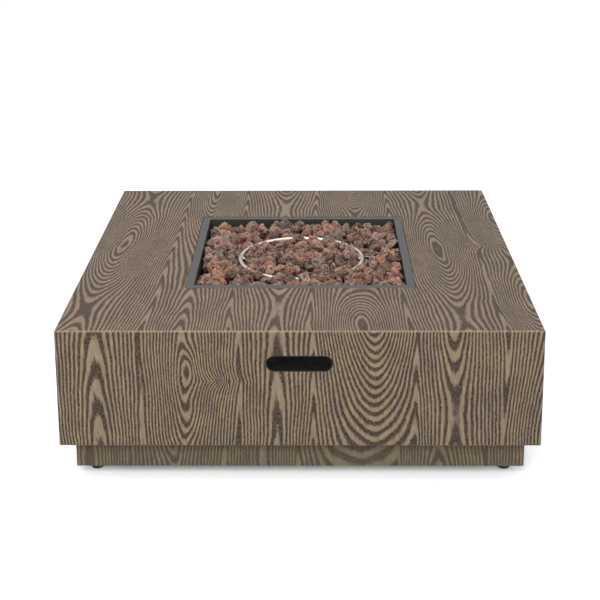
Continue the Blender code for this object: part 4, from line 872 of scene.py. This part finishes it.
def rough_block(rng, ball, radius):
    """The plain angular body of one stone of about this radius round its own centre."""
    flats = rng.normal(size=(BLOCK_FLATS, 3))
    flats /= np.linalg.norm(flats, axis=1)[:, None]
    heights = rng.uniform(0.45, 0.98, BLOCK_FLATS)
    facing = np.maximum(ball @ flats.T, 0.02)
    sharp = BLOCK_SHARPNESS
    reach = (((heights / facing) ** -sharp).sum(1) + 1.4 ** -sharp) ** (-1.0 / sharp)
    shape = ball * reach[:, None] * rng.uniform(0.72, 1.20, 3)
    shape *= radius / np.percentile(np.linalg.norm(shape, axis=1), 72)
    length = np.linalg.norm(shape, axis=1)
    shape *= (np.minimum(length, radius * 1.30) / length)[:, None]
    turn = Matrix.Rotation(rng.uniform(0, math.tau), 3, Vector(rng.normal(size=3)))
    return shape @ np.array(turn).T


def craggy(shape, offset, table):
    """The stone's body with ridges, crumbs and burst bubbles cut into it, and the bubbles' depths."""
    outward = shape / np.linalg.norm(shape, axis=1)[:, None]
    points = shape + offset
    ridge = 1.0 - 2.0 * np.abs(grid_noise(points * RIDGES, table) - 0.5)
    crumb = 1.0 - 2.0 * np.abs(grid_noise(points * CRUMBS + 7.3, table) - 0.5)
    burst = np.clip(1.0 - cell_distance(points * BUBBLES + 3.1, table) / 0.52, 0.0, 1.0)
    small = np.clip(1.0 - cell_distance(points * PORES + 9.7, table) / 0.50, 0.0, 1.0)
    lift = 0.0044 * (ridge - 0.72) + 0.0026 * (crumb - 0.72) - 0.0030 * burst**0.7 - 0.0015 * small
    return shape + outward * lift[:, None], np.maximum(burst, 0.6 * small)


def lava_finish(s):
    """Porous lava: a tone for each stone, rusty patches, pores darkened as painted shade, pale crests of ash bloom
    and painted highlight, painted shade lower down in the heap.
    """
    finish = Finish("lava_stone", roughness=0.93, specular=0.12)
    tone = finish.attribute("stone_tone")
    warmth = finish.attribute("stone_warmth")
    pit = finish.attribute("pit_depth")
    patch = finish.noise(70.0, 4.0, 0.6)
    grit = finish.noise(620.0, 3.0, 0.65)
    bubbles = finish.cells(380.0)
    colour = finish.mix(warmth.rise(0.0, 0.55, 1.0, 0.0), s.body_colour, s.grey_colour)
    colour = finish.mix(warmth.rise(0.70, 1.0) * patch.rise(0.35, 0.60, 0.25, 0.9), colour, s.rust_colour)
    colour = finish.mix(patch.rise(0.58, 0.80, 0.0, 0.55), colour, s.rust_colour)
    # Raised grit turns pale: ash bloom and a painted highlight on the crests.
    colour = finish.mix(grit.rise(0.50, 0.68) * 0.62, colour, s.ash_and_highlight_colour)
    # Grit's low spots, bubble dents and burst pits darken to the pore colour: painted shade in the hollows.
    colour = finish.mix(grit.rise(0.34, 0.48, 0.75, 0.0), colour, s.pore_shade_colour)
    colour = finish.mix(bubbles.rise(0.12, 0.40, 0.85, 0.0), colour, s.pore_shade_colour)
    colour = finish.mix(pit.rise(0.08, 0.60, 0.0, 0.9), colour, s.pore_shade_colour)
    # Stones lower in the heap darken, down to 0.40 of their tone: painted shade in the gaps between stones.
    height = finish.parts(finish.point)[2]
    tone_and_painted_depth_shade = tone * height.rise(DECK_TOP - SEEN_DEPTH, DECK_TOP - 0.013, 0.40, 1.0)
    shade = finish.joined(tone_and_painted_depth_shade, tone_and_painted_depth_shade, tone_and_painted_depth_shade)
    finish.colour(finish.mix(1.0, colour, shade, "MULTIPLY"))
    finish.relief(bubbles.rise(0.05, 0.50), 0.0014)
    finish.relief(grit, 0.0009)
    return finish.done()


class FIRETABLE_OT_lava_rocks(bpy.types.Operator):
    """Packs single lava stones into the pan round the burner, in place of the CAD's solid heap."""

    bl_idname = "fire_table.lava_rocks"
    bl_label = "Lava stones"

    def execute(self, context):
        s = context.scene.fire_table_rocks
        material = lava_finish(s)
        places, radii = settle_stones(s)
        rng = np.random.default_rng(s.seed + 1)
        table = rng.random((TABLE_SIZE, TABLE_SIZE, TABLE_SIZE, 3))
        fine, coarse = unit_ball(3), unit_ball(2)
        seen_from = DECK_TOP - s.below_deck - SEEN_DEPTH
        layers = {f"lava_rocks_upper_{corner}": [] for corner in CORNERS}
        layers["lava_rocks_lower"] = []
        for place, radius in zip(places, radii):
            upper = place[2] + radius > seen_from
            ball, faces = fine if upper else coarse
            shape, pits = craggy(rough_block(rng, ball, radius), rng.uniform(0, 40, 3), table)
            tone = float(np.clip(rng.normal(0.99, 0.22), 0.58, 1.55))
            warmth = float(rng.uniform(0.0, 1.0))
            quarter = ("front" if place[1] < 0 else "rear") + ("_left" if place[0] < 0 else "_right")
            layers[f"lava_rocks_upper_{quarter}" if upper else "lava_rocks_lower"].append(
                (shape + place, faces, pits, tone, warmth)
            )
        for name, stones in layers.items():
            shapes, balls, pits, tones, warmths = zip(*stones)
            sizes = [len(shape) for shape in shapes]
            corners = np.vstack(shapes)
            faces = np.vstack([ball + start for ball, start in zip(balls, np.cumsum([0, *sizes]))])
            limit = PAN_INNER_HALF - 0.0004
            corners[:, :2] = np.clip(corners[:, :2], -limit, limit)
            corners[:, 2] = np.maximum(corners[:, 2], PAN_FLOOR + 0.0003)
            piece = add_piece(name, corners, faces.tolist(), material, "root", "lava_rock", ["lava_rock_bed"], 32)
            for label, values in (
                ("pit_depth", np.concatenate(pits)), ("stone_tone", np.repeat(tones, sizes)),
                ("stone_warmth", np.repeat(warmths, sizes)),
            ):
                layer = piece.data.attributes.new(label, "FLOAT", "POINT")
                layer.data.foreach_set("value", values.astype(np.float32))
        return {"FINISHED"}


# ---------------- ring burner
def ring_steel(settings):
    """Bright drawn tube with a straw and blue heat tint by the welds and a little soot."""
    finish = Finish("ring_stainless", metallic=1.0)
    x, y = finish.parts(finish.point)[:2]
    drawn = finish.noise(700.0, 3.0, 0.6)
    cloud = finish.noise(26.0, 3.0, 0.55)
    colour = finish.mix(cloud.rise(0.45, 0.75, 0.0, 0.45), settings.steel, (0.66, 0.56, 0.42))
    weld = (x.size() - RING_RADIUS).size().greater(y.size() * 0.8)
    near = weld.rise(0.004, 0.024, 1.0, 0.0)
    colour = finish.mix(near * 0.6, colour, (0.44, 0.36, 0.34))
    colour = finish.mix(drawn.rise(0.58, 0.80, 0.0, 0.35), colour, (0.35, 0.33, 0.31))
    finish.colour(colour)
    finish.roughness(drawn * 0.12 + cloud * 0.16 + 0.26)
    finish.relief(drawn, 0.00005)
    return finish.done()


class FIRETABLE_OT_ring_burner(bpy.types.Operator):
    """Builds the ring burner with a full row of gas ports, its cross tube, hub and weld beads."""

    bl_idname = "fire_table.ring_burner"
    bl_label = "Ring burner"

    def execute(self, context):
        s = context.scene.fire_table_burner
        steel = ring_steel(s)
        steps = 320
        path = [(x, y, RING_LEVEL) for x, y in circle(RING_RADIUS, steps)]
        ring = loose_mesh("burner_ring_detailed", *swept(path, [RING_TUBE_RADIUS] * steps, 28, closed=True))
        tidy_mesh(ring)
        ports = []
        count = round(math.tau * RING_RADIUS / s.port_pitch)
        hole = capped([(s.port_radius, RING_TUBE_RADIUS * 0.62), (s.port_radius, RING_TUBE_RADIUS * 1.2)])
        for port in range(count):
            angle = math.tau * (port + 0.5) / count
            place = (RING_RADIUS * math.cos(angle), RING_RADIUS * math.sin(angle), RING_LEVEL)
            ports.append(turned(hole, place, steps=12))
        cutter = tidy_mesh(loose_mesh("gas_ports", *merged(ports)))
        cut(ring, cutter)
        rides = (steel, "root", "burner_stainless")
        finish_piece(ring, *rides, ["burner_ring"])
        reach = RING_RADIUS - RING_TUBE_RADIUS * 0.5
        hub_low = RING_HIGH.z - HUB_HEIGHT
        edge = 0.0012
        hub = [
            (HUB_RADIUS - 0.005, hub_low), (HUB_RADIUS - edge, hub_low), (HUB_RADIUS, hub_low + edge),
            (HUB_RADIUS, RING_HIGH.z - edge), (HUB_RADIUS - edge, RING_HIGH.z), (0.0, RING_HIGH.z),
        ]
        tube = [(-reach, 0, RING_LEVEL), (reach, 0, RING_LEVEL)]
        add_piece("burner_cross_tube", *swept(tube, [CROSS_TUBE_RADIUS] * 2, 28), *rides, ["burner_ring"])
        add_piece("burner_hub", *turned(hub, (0, 0, 0), steps=40), *rides, ["burner_ring"])
        rng = np.random.default_rng(5)
        beads = []
        inner_edge = RING_RADIUS - 0.9 * RING_TUBE_RADIUS
        bead_steps = 60
        wave = 1.0 + 0.22 * np.abs(np.sin(np.arange(bead_steps) * 0.9))
        for x in (-inner_edge, -HUB_RADIUS, HUB_RADIUS, inner_edge):
            seam_line = [(x, y, RING_LEVEL + z) for y, z in circle(CROSS_TUBE_RADIUS + 0.0003, bead_steps)]
            swell = s.bead_radius * (wave + rng.uniform(0, 0.1, bead_steps))
            beads.append(swept(seam_line, swell, 10, closed=True))
        add_piece("burner_weld_beads", *merged(beads), *rides)
        return {"FINISHED"}


class FIRETABLE_OT_burner_fittings(bpy.types.Operator):
    """Dresses the nipple, locknuts, air mixer and nuts under the burner."""

    bl_idname = "fire_table.burner_fittings"
    bl_label = "Burner fittings"

    def execute(self, context):
        zinc = worked_metal("zinc_plated_steel", (0.70, 0.72, 0.74), 0.34, paint(190, 186, 160))
        brass = worked_metal("machined_brass", (0.78, 0.57, 0.26), 0.26, paint(120, 84, 44), ALL_WAYS)
        dress(zinc, "burner_nipple", "burner_locknut_upper", "burner_locknut_lower")
        dress(zinc, *(f"foot_nut_{corner}" for corner in CORNERS))
        dress(brass, "air_mixer", "hose_nut_mixer", "hose_nut_valve", "gas_inlet_fitting", "gas_valve", "valve_nut")
        return {"FINISHED"}


# ---------------- gas hose
def curve_point(around, share):
    """A point on the centripetal curve from the second of four points to the third."""
    times = [0.0]
    for first, second in zip(around, around[1:]):
        times.append(times[-1] + math.sqrt((second - first).length))
    time = times[1] + (times[2] - times[1]) * share

    def mix(low, high, start, end):
        return low.lerp(high, (time - start) / (end - start))

    rows = [mix(around[i], around[i + 1], times[i], times[i + 1]) for i in range(3)]
    pair = [mix(rows[i], rows[i + 1], times[i], times[i + 2]) for i in range(2)]
    return mix(pair[0], pair[1], times[1], times[2])


def hose_route(spacing):
    """Points along the burner hose, from under the mixer to the valve's outlet nut."""
    mixer_nut, valve_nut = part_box("hose_nut_mixer"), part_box("hose_nut_valve")
    gap = 0.0003
    start = Vector((0, 0, mixer_nut[0].z - gap))
    end = Vector((valve_nut[0].x - gap, middle("hose_nut_valve").y, middle("hose_nut_valve").z))
    sag = min(start.z, end.z) - 4 * HOSE_RADIUS
    reach, aside, lead = end.x - start.x, end.y, 2 * HOSE_RADIUS
    knots = [
        *(start - Vector((0, 0, lead * share)) for share in (0.0, 0.5, 1.0)),
        Vector((0.14 * reach, 0.10 * aside, sag)),
        Vector((0.40 * reach, 0.45 * aside, sag)),
        Vector((0.72 * reach, 0.90 * aside, (sag + end.z) / 2)),
        *(end - Vector((lead * share, 0, 0)) for share in (1.0, 0.5, 0.0)),
    ]
    padded = [2 * knots[0] - knots[1], *knots, 2 * knots[-1] - knots[-2]]
    points = [knots[0]]
    for around in zip(padded, padded[1:], padded[2:], padded[3:]):
        count = max(1, round((around[2] - around[1]).length / spacing))
        points.extend(curve_point(around, (step + 1) / count) for step in range(count))
    return points


class FIRETABLE_OT_gas_lines(bpy.types.Operator):
    """Builds the corrugated burner hose and dresses the supply tube and the leads."""

    bl_idname = "fire_table.gas_lines"
    bl_label = "Hose, tube and leads"

    def execute(self, context):
        s = context.scene.fire_table_burner
        points = hose_route(s.rib_pitch / 4)
        travelled = np.cumsum([0.0, *((b - a).length for a, b in zip(points, points[1:]))])
        ribs = 0.5 - 0.5 * np.cos(math.tau * travelled / s.rib_pitch)
        radii = HOSE_RADIUS - s.rib_depth * ribs
        steel = worked_metal("corrugated_steel", (0.66, 0.65, 0.63), 0.30, paint(150, 140, 128))
        hose = swept(points, radii, 20)
        add_piece("burner_hose_corrugated", *hose, steel, "root", "hose_steel", ["burner_hose"], 75)
        copper = worked_metal("copper_tube", (0.83, 0.46, 0.32), 0.30, paint(104, 62, 46), ALL_WAYS, 0.5)
        dress(copper, "supply_tube", "thermocouple_lead")
        dress(moulded_plastic("silicone_red", (0.42, 0.022, 0.016), 0.55), "ignition_wire")
        return {"FINISHED"}


# ---------------- pilot parts
class FIRETABLE_OT_pilot(bpy.types.Operator):
    """Dresses the pilot bracket, spark electrode and thermocouple."""

    bl_idname = "fire_table.pilot"
    bl_label = "Pilot parts"

    def execute(self, context):
        steel = worked_metal("pilot_stainless", (0.62, 0.60, 0.57), 0.32, paint(120, 96, 78), ALL_WAYS, 0.6)
        dress(steel, "pilot_bracket", "electrode_rod", "thermocouple_probe")
        glaze = Finish("glazed_ceramic", specular=0.6)
        crackle = glaze.cells(900.0, feature="DISTANCE_TO_EDGE")
        smoke = glaze.noise(160.0, 3.0, 0.6)
        tone = glaze.mix(smoke.rise(0.5, 0.8, 0.0, 0.5), paint(232, 226, 214), paint(140, 118, 98))
        glaze.colour(glaze.mix(crackle.rise(0.0, 0.03, 0.35, 0.0), tone, paint(120, 100, 84)))
        glaze.roughness(smoke * 0.2 + 0.12)
        glaze.relief(smoke, 0.00008)
        dress(glaze.done(), "electrode_insulator")
        return {"FINISHED"}


# ---------------- controls
OUT = (1, 0, 0)


def ripples(count, depth, rows):
    """A ripple for a turned profile: this many hollows round it, in these rows of the profile."""
    def ripple(index, angle):
        return 1.0 - depth * (0.5 + 0.5 * math.cos(count * angle)) if index in rows else 1.0

    return ripple


def stadium(length, height, steps=14):
    """Outline of a bar with round ends, as (along, across) points about its middle."""
    radius, straight = height / 2, (length - height) / 2
    points = []
    for end in (1, -1):
        for step in range(steps + 1):
            angle = -math.pi / 2 + math.pi * step / steps
            points.append((end * (straight + radius * math.cos(angle)), end * radius * math.sin(angle)))
    return points


def bar_on_face(centre, outline_levels):
    """A solid standing out along X, from outlines of (out, [(along Z, across Y), ...]) levels."""
    corners, rows = [], len(outline_levels)
    count = len(outline_levels[0][1])
    for out, outline in outline_levels:
        corners.extend(Vector((out, centre.y + across, centre.z + along)) for along, across in outline)
    faces = grid_faces(rows, count)
    faces.append(tuple(range(count - 1, -1, -1)))
    faces.append(tuple((rows - 1) * count + i for i in range(count)))
    return corners, faces


class FIRETABLE_OT_controls(bpy.types.Operator):
    """Builds the fluted knob, knurled igniter cap and button, and dresses the panel and valve."""

    bl_idname = "fire_table.controls"
    bl_label = "Control panel"

    def execute(self, context):
        s = context.scene.fire_table_controls
        plastic = moulded_plastic("control_plastic", tuple(s.plastic))
        self.make_knob(s, plastic)
        self.make_igniter(s, plastic)
        self.make_marks()
        coat = powder_coat("black_panel_paint", (0.020, 0.020, 0.021), 0.55, paint(96, 90, 82), PANEL_FACE)
        dress(coat, "control_panel")
        dress(worked_metal("valve_stem_steel", (0.60, 0.61, 0.62), 0.30), "valve_stem")
        dress(plastic, "igniter_module", "igniter_nut")
        wrap = Finish("battery_wrap", roughness=0.35)
        shoulder = middle("igniter_battery").x + 0.010
        band = wrap.parts(wrap.point)[0].rise(shoulder, shoulder + 0.0005)
        label = wrap.mix(band, paint(40, 44, 52), paint(196, 128, 60))
        scuffs = wrap.noise(300.0, 3.0, 0.6).rise(0.55, 0.75, 0.0, 0.3)
        wrap.colour(wrap.mix(scuffs, label, paint(150, 150, 150)))
        wrap.relief(scuffs, 0.00003)
        dress(wrap.done(), "igniter_battery")
        return {"FINISHED"}

    def make_knob(self, s, plastic):
        centre, back = KNOB_CENTRE, KNOB_LOW.x
        radius = (KNOB_HIGH.y - KNOB_LOW.y) / 2
        skirt, bore = 0.005, 0.0034
        profile = [
            (bore, 0.012), (bore, 0.0), (radius - 0.0030, 0.0), (radius - 0.0006, 0.0004), (radius, 0.0012),
            (radius, skirt - 0.0020), (radius - 0.0008, skirt - 0.0008), (radius - 0.0030, skirt),
            (radius - 0.0050, skirt + 0.0003), (0.004, skirt + 0.0006), (0.0, skirt + 0.0006),
        ]
        flutes = ripples(s.flutes, 0.018, {3, 4, 5, 6})
        rides = (plastic, "knob", "black_plastic", ["control_knob"], 50)
        base = Vector((back, centre.y, centre.z))
        add_piece("knob_skirt", *turned(profile, base, OUT, s.flutes * 8, flutes), *rides)
        long, wide = 2 * (radius - 0.0022), 0.011
        top = KNOB_HIGH.x

        def shrunk(by, pinch=0.0):
            return [
                (u * (1 - 2 * by / long), v * (1 - 2 * by / wide) * (1 - pinch * math.cos(math.pi * u / long) ** 2))
                for u, v in stadium(long, wide)
            ]

        levels = [
            (back + skirt - 0.0005, shrunk(0.0)), (back + skirt + 0.0010, shrunk(0.0002, 0.10)),
            (top - 0.0060, shrunk(0.0006, 0.22)), (top - 0.0022, shrunk(0.0009, 0.20)),
            (top - 0.0010, shrunk(0.0013, 0.18)), (top - 0.0003, shrunk(0.0021, 0.16)), (top, shrunk(0.0034, 0.14)),
        ]
        add_piece("knob_grip", *bar_on_face(centre, levels), *rides)
        ink = moulded_plastic("white_ink", tuple(s.marks), 0.5)
        stripe = Vector((0, centre.y, centre.z + long * 0.28))
        line = stadium(long * 0.34, 0.0016, 6)
        add_piece("knob_pointer", *bar_on_face(stripe, [(top - 0.0008, line), (top + 0.0001, line)]), ink, "knob")

    def make_igniter(self, s, plastic):
        centre = middle("igniter_cap")
        radius, height = (CAP_HIGH.y - CAP_LOW.y) / 2, CAP_HIGH.x - CAP_LOW.x
        opening, inner = 0.0078, 0.0098
        profile = [
            (inner, 0.0), (radius - 0.0008, 0.0), (radius, 0.0006), (radius, height - 0.0030),
            (radius - 0.0004, height - 0.0022), (radius - 0.0006, height - 0.0010),
            (radius - 0.0016, height - 0.0002), (radius - 0.0026, height),
            (opening + 0.0010, height), (opening, height - 0.0006),
            (opening, height - 0.0027), (inner, height - 0.0027), (inner, 0.0),
        ]
        knurls = ripples(s.knurls, 0.030, {2, 3})
        base = Vector((CAP_LOW.x, centre.y, centre.z))
        cap = add_piece(
            "igniter_cap_knurled", *turned(profile, base, OUT, s.knurls * 6, knurls),
            plastic, "igniter_cap", "black_plastic", ["igniter_cap"], 50,
        )
        tidy_mesh(cap)
        button, shoulder = 0.0075, 0.0095
        low, high = BUTTON_LOW.x, BUTTON_HIGH.x
        dished = [
            (0.0, low), (shoulder, low), (shoulder, low + 0.0020), (button, low + 0.0020), (button, high - 0.0010),
            (button - 0.0003, high - 0.0004), (button - 0.0010, high), (button - 0.0016, high - 0.0001),
            (0.0040, high - 0.0007), (0.0, high - 0.0009),
        ]
        add_piece(
            "igniter_button_dished", *turned(dished, (0, centre.y, centre.z), OUT, 48),
            plastic, "igniter_button", "black_plastic", ["igniter_button"], 50,
        )

    def make_marks(self):
        """Printed marks on the panel: a dot for off, a swelling arc for the flame, a spark sign."""
        ink = bpy.data.materials.get("white_ink")
        centre, face = KNOB_CENTRE, PANEL_FACE
        out = (face - 0.00005, face + 0.00015)

        def sheet(points):
            count = len(points)
            corners = [Vector((x, y, z)) for x in out for y, z in points]
            faces = grid_faces(2, count)
            return corners, [*faces, tuple(range(count - 1, -1, -1)), tuple(count + i for i in range(count))]

        dot = [(centre.y + y, centre.z + 0.0260 + z) for y, z in circle(0.0012, 20)]
        sweep = np.radians(np.linspace(62, -70, 30))
        outer = [(centre.y + 0.0268 * math.cos(a), centre.z + 0.0268 * math.sin(a)) for a in sweep]
        inner = [
            (centre.y + (0.0262 - 0.0026 * share) * math.cos(a), centre.z + (0.0262 - 0.0026 * share) * math.sin(a))
            for a, share in zip(sweep, np.linspace(0, 1, 30))
        ]
        bolt = [
            (-0.0006, 0.0032), (0.0018, 0.0032), (0.0004, 0.0006), (0.0020, 0.0006),
            (-0.0014, -0.0034), (-0.0002, -0.0004), (-0.0018, -0.0004),
        ]
        cap = middle("igniter_cap")
        spark = [(cap.y + y, cap.z + 0.0245 + z) for y, z in bolt]
        marks = [sheet(dot), sheet(outer + inner[::-1]), sheet(spark)]
        tidy_mesh(add_piece("panel_marks", *merged(marks), ink, smooth=30))


# ---------------- screws
SCREW_HEAD = 0.0018


def threaded(top, bottom, radius, depth, pitch):
    """A shank's profile with its thread's ridges, from top to bottom."""
    count = max(1, int(abs(top - bottom) / pitch))
    profile = []
    step = (bottom - top) / count
    for turn in range(count):
        level = top + (bottom - top) * turn / count
        profile += [(radius, level + step * 0.2), (radius - depth, level + step * 0.7)]
    return [*profile, (radius * 0.7, bottom)]


def cross_recess_screw(name, seat, outward, grip, material, replaced):
    """A pan-head screw with a cross recess, in place of a CAD screw."""
    outward = Vector(outward)
    head_radius, head_height, shank = 0.0038, SCREW_HEAD, 0.0018
    profile = [
        (0.0, head_height), (head_radius * 0.45, head_height * 0.97), (head_radius * 0.78, head_height * 0.78),
        (head_radius * 0.96, head_height * 0.42), (head_radius, head_height * 0.12), (head_radius, 0.0), (shank, 0.0),
        *threaded(-0.0004, -grip, shank, 0.00022, 0.0007), (0.0, -grip),
    ]
    piece = tidy_mesh(loose_mesh(name, *turned(profile, seat, outward, 32)))
    side, other = frame_round(outward)
    long, wide = 0.0021, 0.00045
    for index, (along, across) in enumerate(((side, other), (other, side))):
        bar = [
            seat + outward * out + along * (a * long) + across * (b * wide)
            for out in (head_height * 0.30, head_height * 1.4)
            for a, b in ((1, 1), (-1, 1), (-1, -1), (1, -1))
        ]
        sides = [(0, 3, 2, 1), (4, 5, 6, 7), (0, 1, 5, 4), (1, 2, 6, 5), (2, 3, 7, 6), (3, 0, 4, 7)]
        cut(piece, tidy_mesh(loose_mesh(f"{name}_recess_{index}", bar, sides)))
    finish_piece(piece, material, "root", "zinc_steel", [replaced], 35)


class FIRETABLE_OT_screws(bpy.types.Operator):
    """Builds the panel's and the pan clips' screws with cross recesses and threads."""

    bl_idname = "fire_table.screws"
    bl_label = "Screws"

    def execute(self, context):
        zinc = bpy.data.materials.get("zinc_plated_steel")
        if zinc is None:
            raise RuntimeError("make the burner fittings first: their zinc plating is shared")
        for level, side in product(("lower", "upper"), ("front", "rear")):
            node = f"panel_screw_{level}_{side}"
            low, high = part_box(node)
            seat = Vector((high.x - SCREW_HEAD, (low.y + high.y) / 2, (low.z + high.z) / 2))
            cross_recess_screw(f"{node}_head", seat, OUT, high.x - low.x - SCREW_HEAD, zinc, node)
        for side in SIDES:
            node = f"clip_screw_{side}"
            low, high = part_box(node)
            seat = Vector(((low.x + high.x) / 2, (low.y + high.y) / 2, low.z + SCREW_HEAD))
            cross_recess_screw(f"{node}_head", seat, (0, 0, -1), high.z - low.z - SCREW_HEAD, zinc, node)
        return {"FINISHED"}


# ---------------- feet
class FIRETABLE_OT_feet(bpy.types.Operator):
    """Builds the ribbed levelling feet with their threaded stems."""

    bl_idname = "fire_table.feet"
    bl_label = "Levelling feet"

    def execute(self, context):
        rubber = moulded_plastic("foot_plastic", (0.010, 0.010, 0.012), 0.5, 1200.0, 0.2)
        for corner in CORNERS:
            node = f"levelling_foot_{corner}"
            low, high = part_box(node)
            centre = Vector(((low.x + high.x) / 2, (low.y + high.y) / 2, 0))
            pad, height = (high.x - low.x) / 2, 0.009
            profile = [
                (0.0, 0.0), (pad - 0.0040, 0.0), (pad - 0.0016, 0.0002), (pad - 0.0004, 0.0012), (pad, 0.0026),
                (pad, height - 0.0026), (pad - 0.0006, height - 0.0012), (pad - 0.0022, height - 0.0002),
                (0.0090, height + 0.0012), (0.0078, height + 0.0026), (0.0075, 0.0185), (0.0060, 0.0198),
                *threaded(0.0200, high.z - 0.0006, 0.0040, 0.0005, 0.00125), (0.0, high.z),
            ]
            foot = add_piece(
                f"foot_{corner}_ribbed", *turned(profile, centre, steps=120, ripple=ripples(20, 0.022, {4, 5})),
                rubber, f"foot_{corner}", "foot_plastic", [node], 45,
            )
            tidy_mesh(foot)
        return {"FINISHED"}


# ---------------- studio
def area_light(name, place, target, size, power, tint):
    """A soft rectangular light at a place, turned to a target."""
    light = bpy.data.lights.new(name, "AREA")
    light.shape = "RECTANGLE"
    light.size, light.size_y = size
    light.energy = power
    light.color = tint
    lamp = bpy.data.objects.new(name, light)
    lamp.location = place
    lamp.rotation_euler = (Vector(target) - Vector(place)).to_track_quat("-Z", "Y").to_euler()
    bpy.context.scene.collection.objects.link(lamp)


class FIRETABLE_OT_stage(bpy.types.Operator):
    """Makes the pale floor, the soft studio light and the camera."""

    bl_idname = "fire_table.stage"
    bl_label = "Studio"

    def execute(self, context):
        s = context.scene.fire_table_stage
        scene = context.scene
        self.make_camera(scene, s)
        reach = 30.0
        corners = [(x * reach, y * reach, 0) for x, y in ((-1, -1), (1, -1), (1, 1), (-1, 1))]
        floor = loose_mesh("studio_floor", corners, [(0, 1, 2, 3)])
        ground = Finish("studio_paper", roughness=0.9, specular=0.1)
        speck = ground.noise(3.0, 2.0, 0.5)
        ground.colour(ground.mix(speck, tuple(s.floor), tuple(0.99 * c for c in s.floor)))
        x, y = ground.parts(ground.point)[:2]
        # The floor's glow is full from 2 cm beyond the plinth and fades to nothing under it: an evenly bright floor,
        # with a painted contact shadow round the plinth.
        beyond = x.size().greater(y.size()) - PLINTH_HALF
        ground.shader.inputs["Emission Color"].default_value = (0.94, 0.97, 1.0, 1.0)
        plug(ground.tree, ground.shader.inputs["Emission Strength"], beyond.rise(-0.11, 0.02, 0.0, s.floor_glow))
        floor.data.materials.append(ground.done())
        world = bpy.data.worlds.new("studio_room")
        world.use_nodes = True
        room = world.node_tree.nodes["Background"].inputs
        room["Color"].default_value = (1, 1, 1, 1)
        room["Strength"].default_value = s.sky
        scene.world = world
        aim = (0, 0, 0.2)
        area_light("front_softbox", (-0.8, -3.4, 2.6), aim, (3.0, 2.0), 90.0, (1.0, 0.97, 0.92))
        area_light("overhead_softbox", (0.2, 0.6, 3.2), aim, (3.0, 3.0), 45.0, (0.95, 0.97, 1.0))
        scene.view_settings.view_transform = "Standard"
        scene.view_settings.look = "None"
        return {"FINISHED"}

    def make_camera(self, scene, s):
        level = math.cos(s.pitch)
        ahead = Vector((-math.sin(s.yaw) * level, math.cos(s.yaw) * level, -math.sin(s.pitch)))
        right = ahead.cross(Vector((0, 0, 1))).normalized()
        up = right.cross(ahead)
        cos, sin = math.cos(s.roll), math.sin(s.roll)
        right, up = right * cos + up * sin, up * cos - right * sin
        lens = bpy.data.cameras.new("studio_camera")
        lens.lens = s.lens
        lens.sensor_width = 36.0
        lens.shift_y = s.shift_y
        lens.clip_end = 200.0
        camera = bpy.data.objects.new("studio_camera", lens)
        turn = Matrix((right, up, -ahead)).transposed()
        place = Vector((s.camera_x, s.camera_y, DECK_TOP + s.camera_above_deck))
        camera.matrix_world = Matrix.Translation(place) @ turn.to_4x4()
        scene.collection.objects.link(camera)
        scene.camera = camera


# ---------------- add-on
GROUPS = {
    "fire_table_casting": CastingSettings,
    "fire_table_rocks": RockSettings,
    "fire_table_burner": BurnerSettings,
    "fire_table_controls": ControlSettings,
    "fire_table_stage": StageSettings,
}
STEPS = (
    FIRETABLE_OT_casting, FIRETABLE_OT_liners, FIRETABLE_OT_pan, FIRETABLE_OT_lava_rocks,
    FIRETABLE_OT_ring_burner, FIRETABLE_OT_burner_fittings, FIRETABLE_OT_gas_lines, FIRETABLE_OT_pilot,
    FIRETABLE_OT_controls, FIRETABLE_OT_screws, FIRETABLE_OT_feet, FIRETABLE_OT_stage,
)


class FIRETABLE_PT_sidebar(bpy.types.Panel):
    """Lists the fire table's steps and their sizes and colours."""

    bl_idname = "FIRETABLE_PT_sidebar"
    bl_label = "Fire Table"
    bl_space_type = "VIEW_3D"
    bl_region_type = "UI"
    bl_category = "Fire Table"

    def draw(self, context):
        layout = self.layout
        for step in STEPS:
            layout.operator(step.bl_idname)
        for label, group in GROUPS.items():
            box = layout.box()
            box.label(text=group.__doc__)
            for name in group.__annotations__:
                box.prop(getattr(context.scene, label), name)


def register():
    for made in (*GROUPS.values(), *STEPS, FIRETABLE_PT_sidebar):
        bpy.utils.register_class(made)
    for label, group in GROUPS.items():
        setattr(bpy.types.Scene, label, PointerProperty(type=group))


def unregister():
    for label in GROUPS:
        delattr(bpy.types.Scene, label)
    for made in reversed((*GROUPS.values(), *STEPS, FIRETABLE_PT_sidebar)):
        bpy.utils.unregister_class(made)


def main():
    register()
    for step in STEPS:
        family, name = step.bl_idname.split(".")
        getattr(getattr(bpy.ops, family), name)()


if __name__ == "__main__":
    main()
